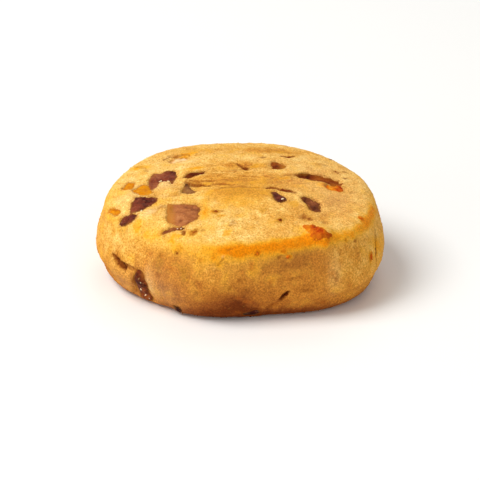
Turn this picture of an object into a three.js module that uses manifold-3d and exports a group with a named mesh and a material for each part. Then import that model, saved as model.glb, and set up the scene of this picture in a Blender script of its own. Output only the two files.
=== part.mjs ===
// A thick slice-and-bake chestnut cookie, lying on its flat base: one dough body with
// diced chestnut set in it. Each dice shows at the surface and sits in a pocket of its
// own, a little clear of the dough all round.
// Millimetres, +Z up, origin at the middle of the base. The shown side faces -Y.
import * as THREE from "three";
import { mergeVertices } from "three/addons/utils/BufferGeometryUtils.js";
import Module from "manifold-3d";

// ---- Driving dimensions of the dough ----
const HALF_LENGTH = 24.45; // half the length of the outline, along X
const HALF_WIDTH = 21.85; // half its width, along Y
const SQUARENESS = 2.2; // exponent of the outline's superellipse: 2 is an ellipse
const RIM_HEIGHT = 14.3; // from the base to the edge of the top face
const DOME_HEIGHT = 2.9; // how far the middle of the top stands above that edge
const TOP_EDGE_RADIUS = 2.35;
const BASE_EDGE_RADIUS = 3.1;
const WIDEST_HEIGHT = 6.2; // height at which the side bulges out furthest
const TOP_TAPER = 1.3; // the top edge lies this far inside the widest line
const BASE_TAPER = 1.2; // and so does the base edge
const POCKET_GAP = 0.3; // between a dice and the dough round it
const POCKET_REACH = 0.9; // a pocket's outer end goes this far beyond its dice, so it's always open

// Slow waves that make the outline uneven: [waves per turn, share of radius, phase in degrees]
const OUTLINE_WAVES = [
  [2, 0.02, -77],
  [3, 0.022, -90],
  [4, 0.011, -67],
  [5, 0.012, -151],
  [6, 0.014, 73],
];

// Soft swells and hollows of the top face: [x, y, reach along X, reach along Y, height]
const TOP_SWELLS = [
  [1, -6.5, 6.5, 2.6, 0.55], // the browned crest
  [-1, -0.5, 9, 3.2, -0.35], // the dip behind it
  [-13.5, -0.5, 3.6, 3.4, -0.55], // hollow round the sunken pair of dice
  [-12.4, -4, 1.8, 1.6, 0.7], // lump of dough in front of them
  [-11.4, 10, 2.6, 1.8, -0.7], // oval hollow near the back edge
  [14, -9.5, 5, 4.5, -0.5], // dip inside the right edge
  [13, -16.2, 2.2, 1.8, 0.6], // lump on the front edge
  [-5, -14, 5, 3, 0.25],
];

// Where the front left of the top edge has sunk while baking
const SLUMP = { angle: -138, reach: 30, depth: 2.3, from: 0.74 };

// Grooves cut into the surface: a round cutter of this radius follows the points
const GROOVES = [
  { name: "slab groove", radius: 0.75, points: [[9.4, 1.6, 17.1], [12.7, 1.1, 16.9], [15.6, 0.2, 16.6], [18.3, -0.8, 16]] },
  { name: "front crack", radius: 0.85, points: [[-22, -10.4, 9.4], [-20.3, -13.2, 7.9], [-18.6, -15, 6.9], [-17.5, -16, 4.8], [-16.6, -16.2, 1.6]] },
];

// Dice on the top face: [name, kind, x, y, length, width, depth, turn in degrees, height above the dough]
const TOP_DICE = [
  ["chestnut_back_bar", "cooked", -12.5, 2.8, 3.8, 2.8, 3.2, 12, 0.3],
  ["chestnut_back_leg", "cooked", -15.1, 0.1, 1.5, 3, 2.8, -18, 0.3],
  ["chestnut_grey", "cooked", -8.5, -2.9, 2.9, 2.9, 2.6, 8, 0.2],
  ["chestnut_left_dark", "skinned", -16.2, -7.4, 4.3, 2.6, 3.4, 27, 0.35],
  ["chestnut_left_wedge", "skinned", -18.9, -10, 3.1, 1, 2.2, -8, 0.35],
  ["chestnut_large", "cooked", -9.1, -11.4, 5.8, 5, 4.2, -6, 0.3],
  ["chestnut_front_flake", "skinned", -11, -15.1, 3.8, 0.9, 1.9, 2, 0.3],
  ["chestnut_far_small", "cooked", 6.2, 5.6, 2.5, 2.3, 2.2, 10, 0.3],
  ["chestnut_right_skin", "skinned", 6.9, -7.4, 2.8, 2.4, 2.6, -35, 0.4],
  ["chestnut_right_dice", "cooked", 12.1, -7.6, 2.6, 3.3, 2.8, 26, 0.3],
  ["chestnut_long_slab", "skinned", 13.9, 2, 7, 1.3, 2.6, -11, -0.1],
  ["candied_large", "candied", -17.3, -2.5, 2.5, 2.5, 2.8, 35, 0.45],
  ["candied_small", "candied", -19, 0.3, 1.8, 2.2, 2, 15, 0.3],
  ["candied_edge", "candied", -21.3, -6.6, 1.8, 1.8, 2, 45, 0.3],
  ["candied_pale", "candied", -10.9, 10.9, 2.9, 1.4, 2, 5, 0.25],
  ["toasted_slab_end", "toasted", 16.6, -1.9, 3.3, 1.6, 2, -6, 0.35],
  ["toasted_edge_lump", "toasted", 12.9, -16.4, 2.9, 2.3, 2.6, -24, 0.5],
];

// Dice on the side: [name, kind, angle round the cookie, height, length, width, depth, turn, height above the dough]
const SIDE_DICE = [
  ["chestnut_in_crack", "glazed", -137.2, 3.7, 1.9, 6.4, 2.6, 12, 0.35],
  ["chestnut_base_front", "skinned", -81, 1.5, 3.2, 1.1, 2.2, -3, 0.2],
  ["chestnut_base_left", "skinned", -119.5, 1.5, 1.5, 1.2, 1.8, 10, 0.25],
  ["chestnut_side_back", "cooked", 108, 7.4, 4.6, 3.6, 3.2, 18, 0.25],
  ["chestnut_side_far_left", "skinned", 152, 5.6, 3.2, 2.6, 2.8, -30, 0.3],
  ["chestnut_side_far_right", "skinned", 41, 4.6, 3.4, 2.2, 2.8, 34, 0.3],
  ["candied_side_back", "candied", 74, 9, 2.6, 2.4, 2.4, 12, 0.3],
  ["candied_side_left", "candied", 167, 9.4, 2, 1.8, 2, 20, 0.25],
  ["toasted_side_right", "toasted", 10, 10.2, 2.4, 1.9, 2.2, -15, 0.3],
];

// Dice in the underside, just clear of what the cookie lies on: [name, kind, x, y, length, width, depth, turn]
const BASE_DICE = [
  ["chestnut_base_large", "cooked", 7.5, 6, 5, 4.2, 3.4, 30],
  ["chestnut_base_dark", "skinned", -9.5, 2.5, 3.6, 3, 3, -20],
  ["candied_base", "candied", 3, -9.5, 3, 2.6, 2.6, 10],
];
const BASE_CLEARANCE = 0.12;

const LOOKS = {
  dough: { color: 0xe0a654, roughness: 0.85 },
  cooked: { color: 0x96603a, roughness: 0.6 },
  skinned: { color: 0x5f2c1c, roughness: 0.5 },
  glazed: { color: 0x7a4824, roughness: 0.3 },
  candied: { color: 0xdc8c1e, roughness: 0.45 },
  toasted: { color: 0xc4601a, roughness: 0.6 },
};

// ---- Fineness of the mesh ----
const SEGMENTS = 84; // round the cookie
const TOP_RINGS = 12;
const EDGE_STEPS = 4;
const SIDE_STEPS = 6;
const BASE_RINGS = 4;
const DICE_CORNER = 0.84; // how far a dice's corners are drawn in
const DICE_EDGE = 0.95; // and the middles of its edges
const DICE_UNEVENNESS = 0.07; // random part of each dice corner's place

const wasm = await Module();
wasm.setup();

const radians = THREE.MathUtils.degToRad;
const smooth = THREE.MathUtils.smoothstep;
const ACROSS = new THREE.Vector3(0, 1, 0);
const UP = new THREE.Vector3(0, 0, 1);

const TOP_FLAT = HALF_LENGTH - TOP_TAPER - TOP_EDGE_RADIUS;
const BASE_FLAT = HALF_LENGTH - BASE_TAPER - BASE_EDGE_RADIUS;
const SIDE_TOP = RIM_HEIGHT - TOP_EDGE_RADIUS;

// ---- The dough's shape ----

// Distance from the middle to the widest line, in the direction of an angle.
function outlineRadius(angle) {
  const along = Math.abs(Math.cos(angle) / HALF_LENGTH) ** SQUARENESS;
  const across = Math.abs(Math.sin(angle) / HALF_WIDTH) ** SQUARENESS;
  const waves = OUTLINE_WAVES.map(([turns, share, phase]) => share * Math.cos(turns * angle - radians(phase)));
  return (along + across) ** (-1 / SQUARENESS) * (1 + waves.reduce((sum, wave) => sum + wave));
}

// Radius of the round section at a height, before the outline makes it uneven.
function sectionRadius(z) {
  if (z >= SIDE_TOP) return TOP_FLAT + Math.sqrt(Math.max(0, TOP_EDGE_RADIUS ** 2 - (z - SIDE_TOP) ** 2));
  if (z <= BASE_EDGE_RADIUS) return BASE_FLAT + Math.sqrt(BASE_EDGE_RADIUS ** 2 - (BASE_EDGE_RADIUS - z) ** 2);
  const above = z > WIDEST_HEIGHT;
  const share = (z - WIDEST_HEIGHT) / (above ? SIDE_TOP - WIDEST_HEIGHT : WIDEST_HEIGHT - BASE_EDGE_RADIUS);
  return HALF_LENGTH - (above ? TOP_TAPER : BASE_TAPER) * share ** 2;
}

// The section from the middle of the base, up the side, to the middle of the top.
function sectionProfile() {
  const heights = [];
  for (let i = 0; i < EDGE_STEPS; i++) {
    heights.push(BASE_EDGE_RADIUS * (1 - Math.cos(radians((90 * i) / EDGE_STEPS))));
  }
  for (let i = 0; i < SIDE_STEPS; i++) {
    heights.push(BASE_EDGE_RADIUS + ((SIDE_TOP - BASE_EDGE_RADIUS) * i) / SIDE_STEPS);
  }
  for (let i = 0; i <= EDGE_STEPS; i++) {
    heights.push(SIDE_TOP + TOP_EDGE_RADIUS * Math.sin(radians((90 * i) / EDGE_STEPS)));
  }
  const points = heights.map((z) => new THREE.Vector2(sectionRadius(z), z));
  for (let i = BASE_RINGS - 1; i >= 0; i--) points.unshift(new THREE.Vector2((BASE_FLAT * i) / BASE_RINGS, 0));
  for (let i = TOP_RINGS - 1; i >= 0; i--) points.push(new THREE.Vector2((TOP_FLAT * i) / TOP_RINGS, RIM_HEIGHT));
  return points;
}

// How far the sunken stretch of the top edge lies below its place.
function slump(angle, share) {
  const turn = THREE.MathUtils.euclideanModulo(angle - radians(SLUMP.angle) + Math.PI, 2 * Math.PI) - Math.PI;
  return SLUMP.depth * Math.exp(-((turn / radians(SLUMP.reach)) ** 2)) * smooth(share, SLUMP.from, 1);
}

// How far the top stands above the height of its edge.
function topRelief(x, y) {
  const angle = Math.atan2(y, x);
  const share = Math.min(1, Math.hypot(x, y) / outlineRadius(angle));
  const swells = TOP_SWELLS.map(([u, v, along, across, height]) => {
    return height * Math.exp(-(((x - u) / along) ** 2) - ((y - v) / across) ** 2);
  });
  return DOME_HEIGHT * (1 - share ** 2) + swells.reduce((sum, swell) => sum + swell) - slump(angle, share);
}

// Moves a point of the round lathe body to where it lies on the uneven cookie.
function shaped(x, y, z) {
  const scale = outlineRadius(Math.atan2(y, x)) / HALF_LENGTH;
  return [x * scale, y * scale, z + topRelief(x * scale, y * scale) * smooth(z, RIM_HEIGHT / 2, RIM_HEIGHT)];
}

function bare(geometry) {
  geometry.deleteAttribute("normal");
  geometry.deleteAttribute("uv");
  return mergeVertices(geometry, 1e-4);
}

function doughBody() {
  const body = bare(new THREE.LatheGeometry(sectionProfile(), SEGMENTS).rotateX(Math.PI / 2));
  const at = body.attributes.position;
  for (let i = 0; i < at.count; i++) at.setXYZ(i, ...shaped(at.getX(i), at.getY(i), at.getZ(i)));
  return body;
}

// ---- Grooves ----

function grooveCutter({ radius, points }) {
  const section = new THREE.Shape().absarc(0, 0, radius, 0, 2 * Math.PI);
  const path = new THREE.CatmullRomCurve3(points.map((point) => new THREE.Vector3(...point)));
  return bare(new THREE.ExtrudeGeometry(section, { steps: 8, curveSegments: 4, extrudePath: path }));
}

// ---- Chestnut dice ----

// A number from -1 to 1 that is the same on every run.
function unevenness(seed, index) {
  const mixed = Math.sin(seed * 127.1 + index * 311.7) * 43758.5453;
  return 2 * (mixed - Math.floor(mixed)) - 1;
}

// A block with drawn-in corners, unevenly cut. A pocket is the same block, grown by a gap on every
// side and reaching further out.
function dice(length, width, depth, seed, gap = 0, reach = 0) {
  const block = bare(new THREE.BoxGeometry(1, 1, 1, 2, 2, 2));
  const at = block.attributes.position;
  const half = [length, width, depth].map((size) => size / 2);
  for (let i = 0; i < at.count; i++) {
    const corner = [at.getX(i), at.getY(i), at.getZ(i)].map((value) => value * 2);
    const outer = corner.filter((value) => value !== 0).length;
    const drawn = outer === 3 ? DICE_CORNER : outer === 2 ? DICE_EDGE : 1;
    const [u, v, w] = corner.map((value, axis) => {
      const uneven = DICE_UNEVENNESS * unevenness(seed, i * 3 + axis) * half[axis];
      return value * drawn * half[axis] + uneven + Math.sign(value) * gap;
    });
    at.setXYZ(i, u, v, corner[2] > 0 ? w + reach : w);
  }
  return block;
}

// Sets a dice into the surface: its own Z points out, its Y to the reference direction, then it's turned.
function placed({ foot, outward }, reference, turn, depth, proud) {
  const across = reference.clone().cross(outward).normalize();
  const facing = new THREE.Matrix4().makeBasis(across, outward.clone().cross(across), outward);
  facing.multiply(new THREE.Matrix4().makeRotationZ(radians(turn)));
  return facing.setPosition(foot.clone().addScaledVector(outward, proud - depth / 2));
}

function onTop(x, y) {
  const step = 0.4;
  const slopeX = (topRelief(x + step, y) - topRelief(x - step, y)) / (2 * step);
  const slopeY = (topRelief(x, y + step) - topRelief(x, y - step)) / (2 * step);
  return {
    foot: new THREE.Vector3(x, y, RIM_HEIGHT + topRelief(x, y)),
    outward: new THREE.Vector3(-slopeX, -slopeY, 1).normalize(),
  };
}

// A point on the side, with the direction that leads straight out of it.
function onSide(degrees, z) {
  const at = (angle, height) => {
    const radius = sectionRadius(height);
    return new THREE.Vector3(...shaped(radius * Math.cos(angle), radius * Math.sin(angle), height));
  };
  const angle = radians(degrees);
  const round = at(angle + 0.02, z).sub(at(angle - 0.02, z));
  const upward = at(angle, z + 0.2).sub(at(angle, z - 0.2));
  return { foot: at(angle, z), outward: round.cross(upward).normalize() };
}

function diceList() {
  const list = [];
  const add = (name, kind, surface, reference, size, turn, proud) => {
    list.push({ name, kind, size, place: placed(surface, reference, turn, size[2], proud), seed: list.length + 1 });
  };
  for (const [name, kind, x, y, length, width, depth, turn, proud] of TOP_DICE) {
    add(name, kind, onTop(x, y), ACROSS, [length, width, depth], turn, proud);
  }
  for (const [name, kind, angle, z, length, width, depth, turn, proud] of SIDE_DICE) {
    add(name, kind, onSide(angle, z), UP, [length, width, depth], turn, proud);
  }
  for (const [name, kind, x, y, length, width, depth, turn] of BASE_DICE) {
    const surface = { foot: new THREE.Vector3(x, y, 0), outward: UP.clone().negate() };
    const sunk = BASE_CLEARANCE + (DICE_UNEVENNESS * depth) / 2;
    add(name, kind, surface, ACROSS, [length, width, depth], turn, -sunk);
  }
  return list;
}

// ---- Cutting the dough ----

function toSolid(geometry) {
  return new wasm.Manifold(
    new wasm.Mesh({
      numProp: 3,
      vertProperties: new Float32Array(geometry.attributes.position.array),
      triVerts: new Uint32Array(geometry.index.array),
    }),
  );
}

function toGeometry(solid) {
  const mesh = solid.getMesh();
  return new THREE.BufferGeometry()
    .setAttribute("position", new THREE.BufferAttribute(mesh.vertProperties, 3))
    .setIndex(new THREE.BufferAttribute(mesh.triVerts, 1));
}

function cutDough(pieces) {
  let solid = toSolid(doughBody());
  for (const groove of GROOVES) solid = solid.subtract(toSolid(grooveCutter(groove)));
  for (const { size, place, seed } of pieces) {
    solid = solid.subtract(toSolid(dice(...size, seed, POCKET_GAP, POCKET_REACH).applyMatrix4(place)));
  }
  return toGeometry(solid);
}

// ---- The whole cookie ----

function named(name, geometry, look) {
  geometry.computeVertexNormals();
  const mesh = new THREE.Mesh(geometry, new THREE.MeshStandardMaterial({ ...LOOKS[look], metalness: 0 }));
  mesh.name = name;
  return mesh;
}

function build() {
  const cookie = new THREE.Group();
  const pieces = diceList();
  cookie.add(named("dough", cutDough(pieces), "dough"));
  for (const { name, kind, size, place, seed } of pieces) {
    const piece = named(name, dice(...size, seed), kind);
    place.decompose(piece.position, piece.quaternion, piece.scale);
    cookie.add(piece);
  }
  const box = new THREE.Box3().setFromObject(cookie, true);
  const middle = box.getCenter(new THREE.Vector3());
  cookie.position.set(-middle.x, -middle.y, -box.min.z);
  return cookie;
}

export default build();
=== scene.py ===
"""A thick slice-and-bake chestnut cookie: sandy butter dough with diced chestnut set in it.

Sizes are real ones in millimetres and angles are in degrees. +Z is up, the cookie lies on its
flat base and the shown side faces -Y. Lengths turn to metres where they meet a mesh.
"""

import logging
import math
from dataclasses import dataclass, field
from enum import Enum
from functools import partial

import bmesh
import bpy
import numpy as np
from mathutils import Matrix, Vector, geometry
from mathutils.bvhtree import BVHTree

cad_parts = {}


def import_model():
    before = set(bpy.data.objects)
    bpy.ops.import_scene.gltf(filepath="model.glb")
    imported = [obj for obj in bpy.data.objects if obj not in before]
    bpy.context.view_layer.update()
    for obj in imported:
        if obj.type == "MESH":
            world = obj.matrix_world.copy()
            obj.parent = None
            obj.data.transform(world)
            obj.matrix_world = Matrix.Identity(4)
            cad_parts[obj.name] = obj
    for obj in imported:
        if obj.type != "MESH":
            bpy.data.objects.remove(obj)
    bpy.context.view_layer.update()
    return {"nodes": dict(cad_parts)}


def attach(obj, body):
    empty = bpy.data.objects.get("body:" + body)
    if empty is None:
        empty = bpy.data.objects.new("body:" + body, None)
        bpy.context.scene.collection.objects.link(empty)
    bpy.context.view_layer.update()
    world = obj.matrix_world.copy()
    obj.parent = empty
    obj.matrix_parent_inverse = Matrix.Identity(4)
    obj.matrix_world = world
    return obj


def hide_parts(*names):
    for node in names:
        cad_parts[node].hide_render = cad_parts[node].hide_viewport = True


LOG = logging.getLogger("cookie")
MM = 0.001
BODY = "root"
UP = np.array([0.0, 0.0, 1.0])
ACROSS = np.array([0.0, 1.0, 0.0])
Point = tuple[float, float, float]
Outline = tuple[tuple[float, ...], ...]
Ramp = tuple[tuple[float, str], ...]

# The types of node that are used most.
MATHS = "ShaderNodeMath"
VECTORS = "ShaderNodeVectorMath"
NOISE = "ShaderNodeTexNoise"
CELLS = "ShaderNodeTexVoronoi"
RAMP = "ShaderNodeValToRGB"
MIX = "ShaderNodeMix"
STEP = "ShaderNodeMapRange"
OWN = "GeometryNodeInputNamedAttribute"
RANDOM = "FunctionNodeRandomValue"


# ---- Small tools ----


def linear(hex_colour: str) -> tuple[float, float, float, float]:
    """Turns an sRGB hex colour into linear light.

    Args:
        hex_colour: the colour, such as "#E8A33C".

    Returns:
        Red, green, blue and an alpha of 1.
    """
    values = [int(hex_colour[i : i + 2], 16) / 255 for i in (1, 3, 5)]
    light = [v / 12.92 if v <= 0.04045 else ((v + 0.055) / 1.055) ** 2.4 for v in values]
    return (*light, 1.0)


def add_node(
    tree: bpy.types.NodeTree, kind: str, inputs: dict | None = None, stops: Ramp = (), **settings: object
) -> bpy.types.Node:
    """Adds a node with its settings, its values and its links.

    Args:
        tree: the material's or the modifier's node tree.
        kind: the node's type name.
        inputs: socket names or numbers, each with a value, or with the socket or the node that
            feeds it. A node feeds from its first output.
        stops: a colour ramp's colours, each with its place, from 0 to 1.
        **settings: properties of the node itself.

    Returns:
        The new node.
    """
    node = tree.nodes.new(kind)
    for name, value in settings.items():
        setattr(node, name, value)
    for key, value in (inputs or {}).items():
        if isinstance(value, bpy.types.Node):
            value = value.outputs[0]
        if isinstance(value, bpy.types.NodeSocket):
            tree.links.new(value, node.inputs[key])
        else:
            node.inputs[key].default_value = value
    if stops:
        marks = node.color_ramp.elements
        marks[0].color = linear(stops[0][1])
        marks[-1].color = linear(stops[-1][1])
        for at, colour in stops[1:-1]:
            marks.new(at).color = linear(colour)
    return node


def weighed(
    tree: bpy.types.NodeTree,
    start: float | bpy.types.NodeSocket,
    patterns: tuple[tuple[bpy.types.Node, float], ...],
) -> bpy.types.Node:
    """Adds patterns that lie round 0.5 to a level.

    Args:
        tree: the material's node tree.
        start: the level without them.
        patterns: each pattern with its amount. It moves the level by half of that either way.

    Returns:
        The node that gives the sum.
    """
    middle = sum(amount for _, amount in patterns) / 2
    total = add_node(tree, MATHS, {0: start, 1: -middle}, operation="ADD")
    for pattern, amount in patterns:
        total = add_node(tree, MATHS, {0: pattern, 1: amount, 2: total}, operation="MULTIPLY_ADD")
    return total


def smooth(values: np.ndarray, low: float, high: float) -> np.ndarray:
    """Goes softly from 0 at low to 1 at high.

    Args:
        values: the numbers to map.
        low: where the result is 0.
        high: where the result is 1.

    Returns:
        The eased share of each number.
    """
    share = np.clip((values - low) / (high - low), 0, 1)
    return share * share * (3 - 2 * share)


def in_scene(name: str, data: bpy.types.ID) -> bpy.types.Object:
    """Puts a new object in the scene.

    Args:
        name: the object's name.
        data: its mesh, camera or lamp.

    Returns:
        The object.
    """
    made = bpy.data.objects.new(name, data)
    bpy.context.scene.collection.objects.link(made)
    return made


def blank_material(name: str) -> tuple[bpy.types.Material, bpy.types.NodeTree]:
    """Makes a material with no nodes in it yet.

    Args:
        name: the material's name.

    Returns:
        The material and its node tree.
    """
    made = bpy.data.materials.new(name)
    made.use_nodes = True
    made.node_tree.nodes.clear()
    return made, made.node_tree


def read_points(mesh: bpy.types.Mesh) -> np.ndarray:
    """Reads the mesh's points.

    Args:
        mesh: the mesh.

    Returns:
        One row per point, in millimetres.
    """
    points = np.empty(len(mesh.vertices) * 3, np.float32)
    mesh.vertices.foreach_get("co", points)
    return points.reshape(-1, 3).astype(float) / MM


def write_points(mesh: bpy.types.Mesh, points: np.ndarray) -> None:
    """Moves the mesh's points to new places, given in millimetres."""
    mesh.vertices.foreach_set("co", (points * MM).astype(np.float32).ravel())
    mesh.update()


def keep_above(mesh: bpy.types.Mesh, lowest: float) -> None:
    """Lifts what lies under a height up to it.

    Args:
        mesh: the mesh, which is changed.
        lowest: the height, in millimetres.
    """
    points = read_points(mesh)
    points[:, 2] = np.maximum(points[:, 2], lowest)
    write_points(mesh, points)


def read_normals(mesh: bpy.types.Mesh) -> np.ndarray:
    """Reads the outward direction at each of the mesh's points.

    Args:
        mesh: the mesh.

    Returns:
        One row per point.
    """
    normals = np.empty(len(mesh.vertices) * 3, np.float32)
    mesh.vertex_normals.foreach_get("vector", normals)
    return normals.reshape(-1, 3).astype(float)


def relax(mesh: bpy.types.Mesh, rounds: int, pull: float = 0.5, push: float = 0.0) -> None:
    """Evens out a mesh: each point moves towards the middle of its neighbours.

    Args:
        mesh: the mesh to smooth in place.
        rounds: how many times it is done.
        pull: the share of the way that a point moves.
        push: the share that it then moves back, which keeps the volume.
    """
    edges = np.empty(len(mesh.edges) * 2, np.int32)
    mesh.edges.foreach_get("vertices", edges)
    first, second = edges.reshape(-1, 2).T
    points = read_points(mesh)
    count = np.bincount(edges, minlength=len(points))[:, None]
    for _ in range(rounds):
        for share in (pull, -push):
            total = np.stack(
                [
                    np.bincount(first, points[second, axis], len(points))
                    + np.bincount(second, points[first, axis], len(points))
                    for axis in range(3)
                ],
                axis=1,
            )
            points += share * (total / count - points)
    write_points(mesh, points)


def store(mesh: bpy.types.Mesh, name: str, values: np.ndarray) -> None:
    """Writes one number per point into a named attribute of the mesh."""
    mesh.attributes.new(name, "FLOAT", "POINT").data.foreach_set("value", values.astype(np.float32))


def merged_copy(node: bpy.types.Object) -> bmesh.types.BMesh:
    """Copies a node's loose triangles and joins them into one closed shell.

    Args:
        node: the frame's node, which stays as it is.

    Returns:
        The shell.
    """
    same_place = 0.001 * MM
    shell = bmesh.new()
    shell.from_mesh(node.data)
    bmesh.ops.remove_doubles(shell, verts=shell.verts, dist=same_place)
    return shell


def remeshed(shell: bmesh.types.BMesh, name: str, voxel: float) -> bpy.types.Mesh:
    """Turns overlapping closed shells into one even skin of small quads.

    Args:
        shell: the shells, which are freed.
        name: the new mesh's name.
        voxel: the size of a quad, in millimetres.

    Returns:
        The skin.
    """
    bmesh.ops.scale(shell, vec=(1 / MM,) * 3, verts=shell.verts)
    rough = bpy.data.meshes.new(name + "_rough")
    shell.to_mesh(rough)
    shell.free()
    carrier = in_scene(name + "_rough", rough)
    skin = carrier.modifiers.new("skin", "REMESH")
    skin.mode = "VOXEL"
    skin.voxel_size = voxel
    mesh = settled(carrier, name)
    mesh.transform(Matrix.Scale(MM, 4))
    bpy.data.objects.remove(carrier)
    bpy.data.meshes.remove(rough)
    return mesh


def settled(carrier: bpy.types.Object, name: str) -> bpy.types.Mesh:
    """Makes a plain mesh of what an object's modifiers give.

    Args:
        carrier: the object with the modifiers.
        name: the new mesh's name.

    Returns:
        The mesh as evaluated.
    """
    graph = bpy.context.evaluated_depsgraph_get()
    mesh = bpy.data.meshes.new_from_object(
        carrier.evaluated_get(graph), preserve_all_data_layers=True, depsgraph=graph
    )
    mesh.name = name
    return mesh


def set_in_place(name: str, mesh: bpy.types.Mesh, slot: str, *nodes: str) -> bpy.types.Object:
    """Shows a finished mesh as a piece of the cookie.

    Args:
        name: the piece's name.
        mesh: its mesh, in the cookie's own frame.
        slot: the name of its material slot, which is only logged.
        *nodes: the frame's nodes that it stands for.

    Returns:
        The piece's object.
    """
    mesh.shade_smooth()
    piece = in_scene(name, mesh)
    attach(piece, BODY)
    if nodes:
        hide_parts(*nodes)
    LOG.info("%s: %d faces, in slot %s", name, len(mesh.polygons), slot)
    return piece


def grown_by_nodes(
    mesh: bpy.types.Mesh, tree: bpy.types.NodeTree, sizes: dict[str, float], name: str
) -> bpy.types.Mesh:
    """Runs a geometry node tree on a mesh and keeps the result as a plain mesh.

    Args:
        mesh: what the tree starts from.
        tree: the node tree.
        sizes: the tree's named inputs, each with its value.
        name: the new mesh's name.

    Returns:
        The result.
    """
    carrier = in_scene(name + "_carrier", mesh)
    modifier = carrier.modifiers.new(tree.name, "NODES")
    modifier.node_group = tree
    for item in tree.interface.items_tree:
        if item.in_out == "INPUT" and item.name in sizes:
            modifier[item.identifier] = sizes[item.name]
    result = settled(carrier, name)
    carrier.modifiers.remove(modifier)
    bpy.data.objects.remove(carrier)
    return result


def new_tree(
    name: str, inputs: dict[str, str]
) -> tuple[bpy.types.NodeTree, bpy.types.Node, bpy.types.Node]:
    """Starts a geometry node tree.

    Args:
        name: the tree's name.
        inputs: the named inputs after the geometry, each with its socket type.

    Returns:
        The tree, its input node and its output node.
    """
    tree = bpy.data.node_groups.new(name, "GeometryNodeTree")
    tree.interface.new_socket("Geometry", in_out="INPUT", socket_type="NodeSocketGeometry")
    for label, kind in inputs.items():
        tree.interface.new_socket(label, in_out="INPUT", socket_type="NodeSocket" + kind)
    tree.interface.new_socket("Geometry", in_out="OUTPUT", socket_type="NodeSocketGeometry")
    return tree, add_node(tree, "NodeGroupInput"), add_node(tree, "NodeGroupOutput")


def end_tree(
    tree: bpy.types.NodeTree, entry: bpy.types.Node, leave: bpy.types.Node, grown: bpy.types.Node
) -> bpy.types.NodeTree:
    """Ends a geometry node tree: what it grew becomes real mesh and gets its material.

    Args:
        tree: the tree.
        entry: its input node, which holds the material.
        leave: its output node.
        grown: the node that gives the grown shape.

    Returns:
        The tree, ready for use.
    """
    whole = add_node(tree, "GeometryNodeRealizeInstances", {"Geometry": grown})
    dress = {"Geometry": whole, "Material": entry.outputs["Material"]}
    dressed = add_node(tree, "GeometryNodeSetMaterial", dress)
    tree.links.new(dressed.outputs[0], leave.inputs["Geometry"])
    return tree


def falling(points: np.ndarray, at: Point, reach: Point) -> np.ndarray:
    """Returns 1 at a place, falling softly to 0 over its reach, for each point."""
    return np.exp(-((((points - np.array(at)) / np.array(reach)) ** 2).sum(axis=1)))


def ridge(away: np.ndarray, at: float | np.ndarray, width: float | np.ndarray) -> np.ndarray:
    """Returns 1 where a measure is at a value, falling softly to 0 on both sides of it."""
    return np.exp(-(((away - at) / width) ** 2))


def signed_distance(places: np.ndarray, outline: np.ndarray) -> np.ndarray:
    """Measures how far flat points lie outside a closed outline.

    Args:
        places: one row per point.
        outline: the outline's corners in order.

    Returns:
        The distance to the outline, negative inside it.
    """
    tiny = 1e-9
    nearest = np.full(len(places), np.inf)
    inside = np.zeros(len(places), bool)
    for start, end in zip(outline, np.roll(outline, -1, axis=0)):
        side = end - start
        share = np.clip((places - start) @ side / (side @ side), 0, 1)
        nearest = np.minimum(nearest, np.linalg.norm(places - start - share[:, None] * side, axis=1))
        crosses = (start[1] > places[:, 1]) != (end[1] > places[:, 1])
        rise = side[1] or tiny
        inside ^= crosses & (places[:, 0] < start[0] + side[0] * (places[:, 1] - start[1]) / rise)
    return np.where(inside, -nearest, nearest)


def distance_to_line(points: np.ndarray, line: tuple[Point, ...]) -> tuple[np.ndarray, np.ndarray]:
    """Measures how far points lie from a bent line, and how far along it.

    Args:
        points: one row per point.
        line: the line's corners.

    Returns:
        The distance of each point, and the share of the line's length at its foot.
    """
    corners = np.array(line, float)
    lengths = np.linalg.norm(np.diff(corners, axis=0), axis=1)
    before = np.concatenate([[0.0], np.cumsum(lengths)])
    nearest = np.full(len(points), np.inf)
    along = np.zeros(len(points))
    for i, (start, end) in enumerate(zip(corners[:-1], corners[1:])):
        side = end - start
        share = np.clip((points - start) @ side / (side @ side), 0, 1)
        away = np.linalg.norm(points - start - share[:, None] * side, axis=1)
        closer = away < nearest
        nearest[closer] = away[closer]
        along[closer] = ((before[i] + share * lengths[i]) / before[-1])[closer]
    return nearest, along


def sampled_noise(points: np.ndarray, size: float, seed: int) -> np.ndarray:
    """Gives each point a smooth random number from about -1 to 1.

    Args:
        points: one row per point.
        size: the distance over which the number changes.
        seed: picks one of many patterns.

    Returns:
        One number per point.
    """
    cells, shift = 24, 3.7
    table = np.random.default_rng(seed).uniform(-1, 1, (cells, cells, cells))
    at = points / size + seed * shift
    whole = np.floor(at).astype(int)
    share = at - whole
    share = share * share * (3 - 2 * share)
    total = np.zeros(len(points))
    for corner in np.ndindex(2, 2, 2):
        step = np.array(corner)
        weight = np.prod(np.where(step, share, 1 - share), axis=1)
        total += weight * table[tuple(((whole + step) % cells).T)]
    return total


@dataclass
class Seat:
    """A place on the dough with its own flat axes: across, up and out."""

    foot: np.ndarray
    out: np.ndarray
    reference: np.ndarray = field(default_factory=lambda: ACROSS)

    def axes(self) -> np.ndarray:
        """Works out the seat's axes.

        Returns:
            The three axes, one row each.
        """
        across = np.cross(self.reference, self.out)
        across /= np.linalg.norm(across)
        return np.stack([across, np.cross(self.out, across), self.out])

    def local(self, points: np.ndarray) -> np.ndarray:
        """Returns points as seen along the seat's own axes."""
        return (points - self.foot) @ self.axes().T

    def world(self, places: np.ndarray) -> np.ndarray:
        """Returns places on the seat's axes as points of the cookie."""
        return self.foot + places @ self.axes()


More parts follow.
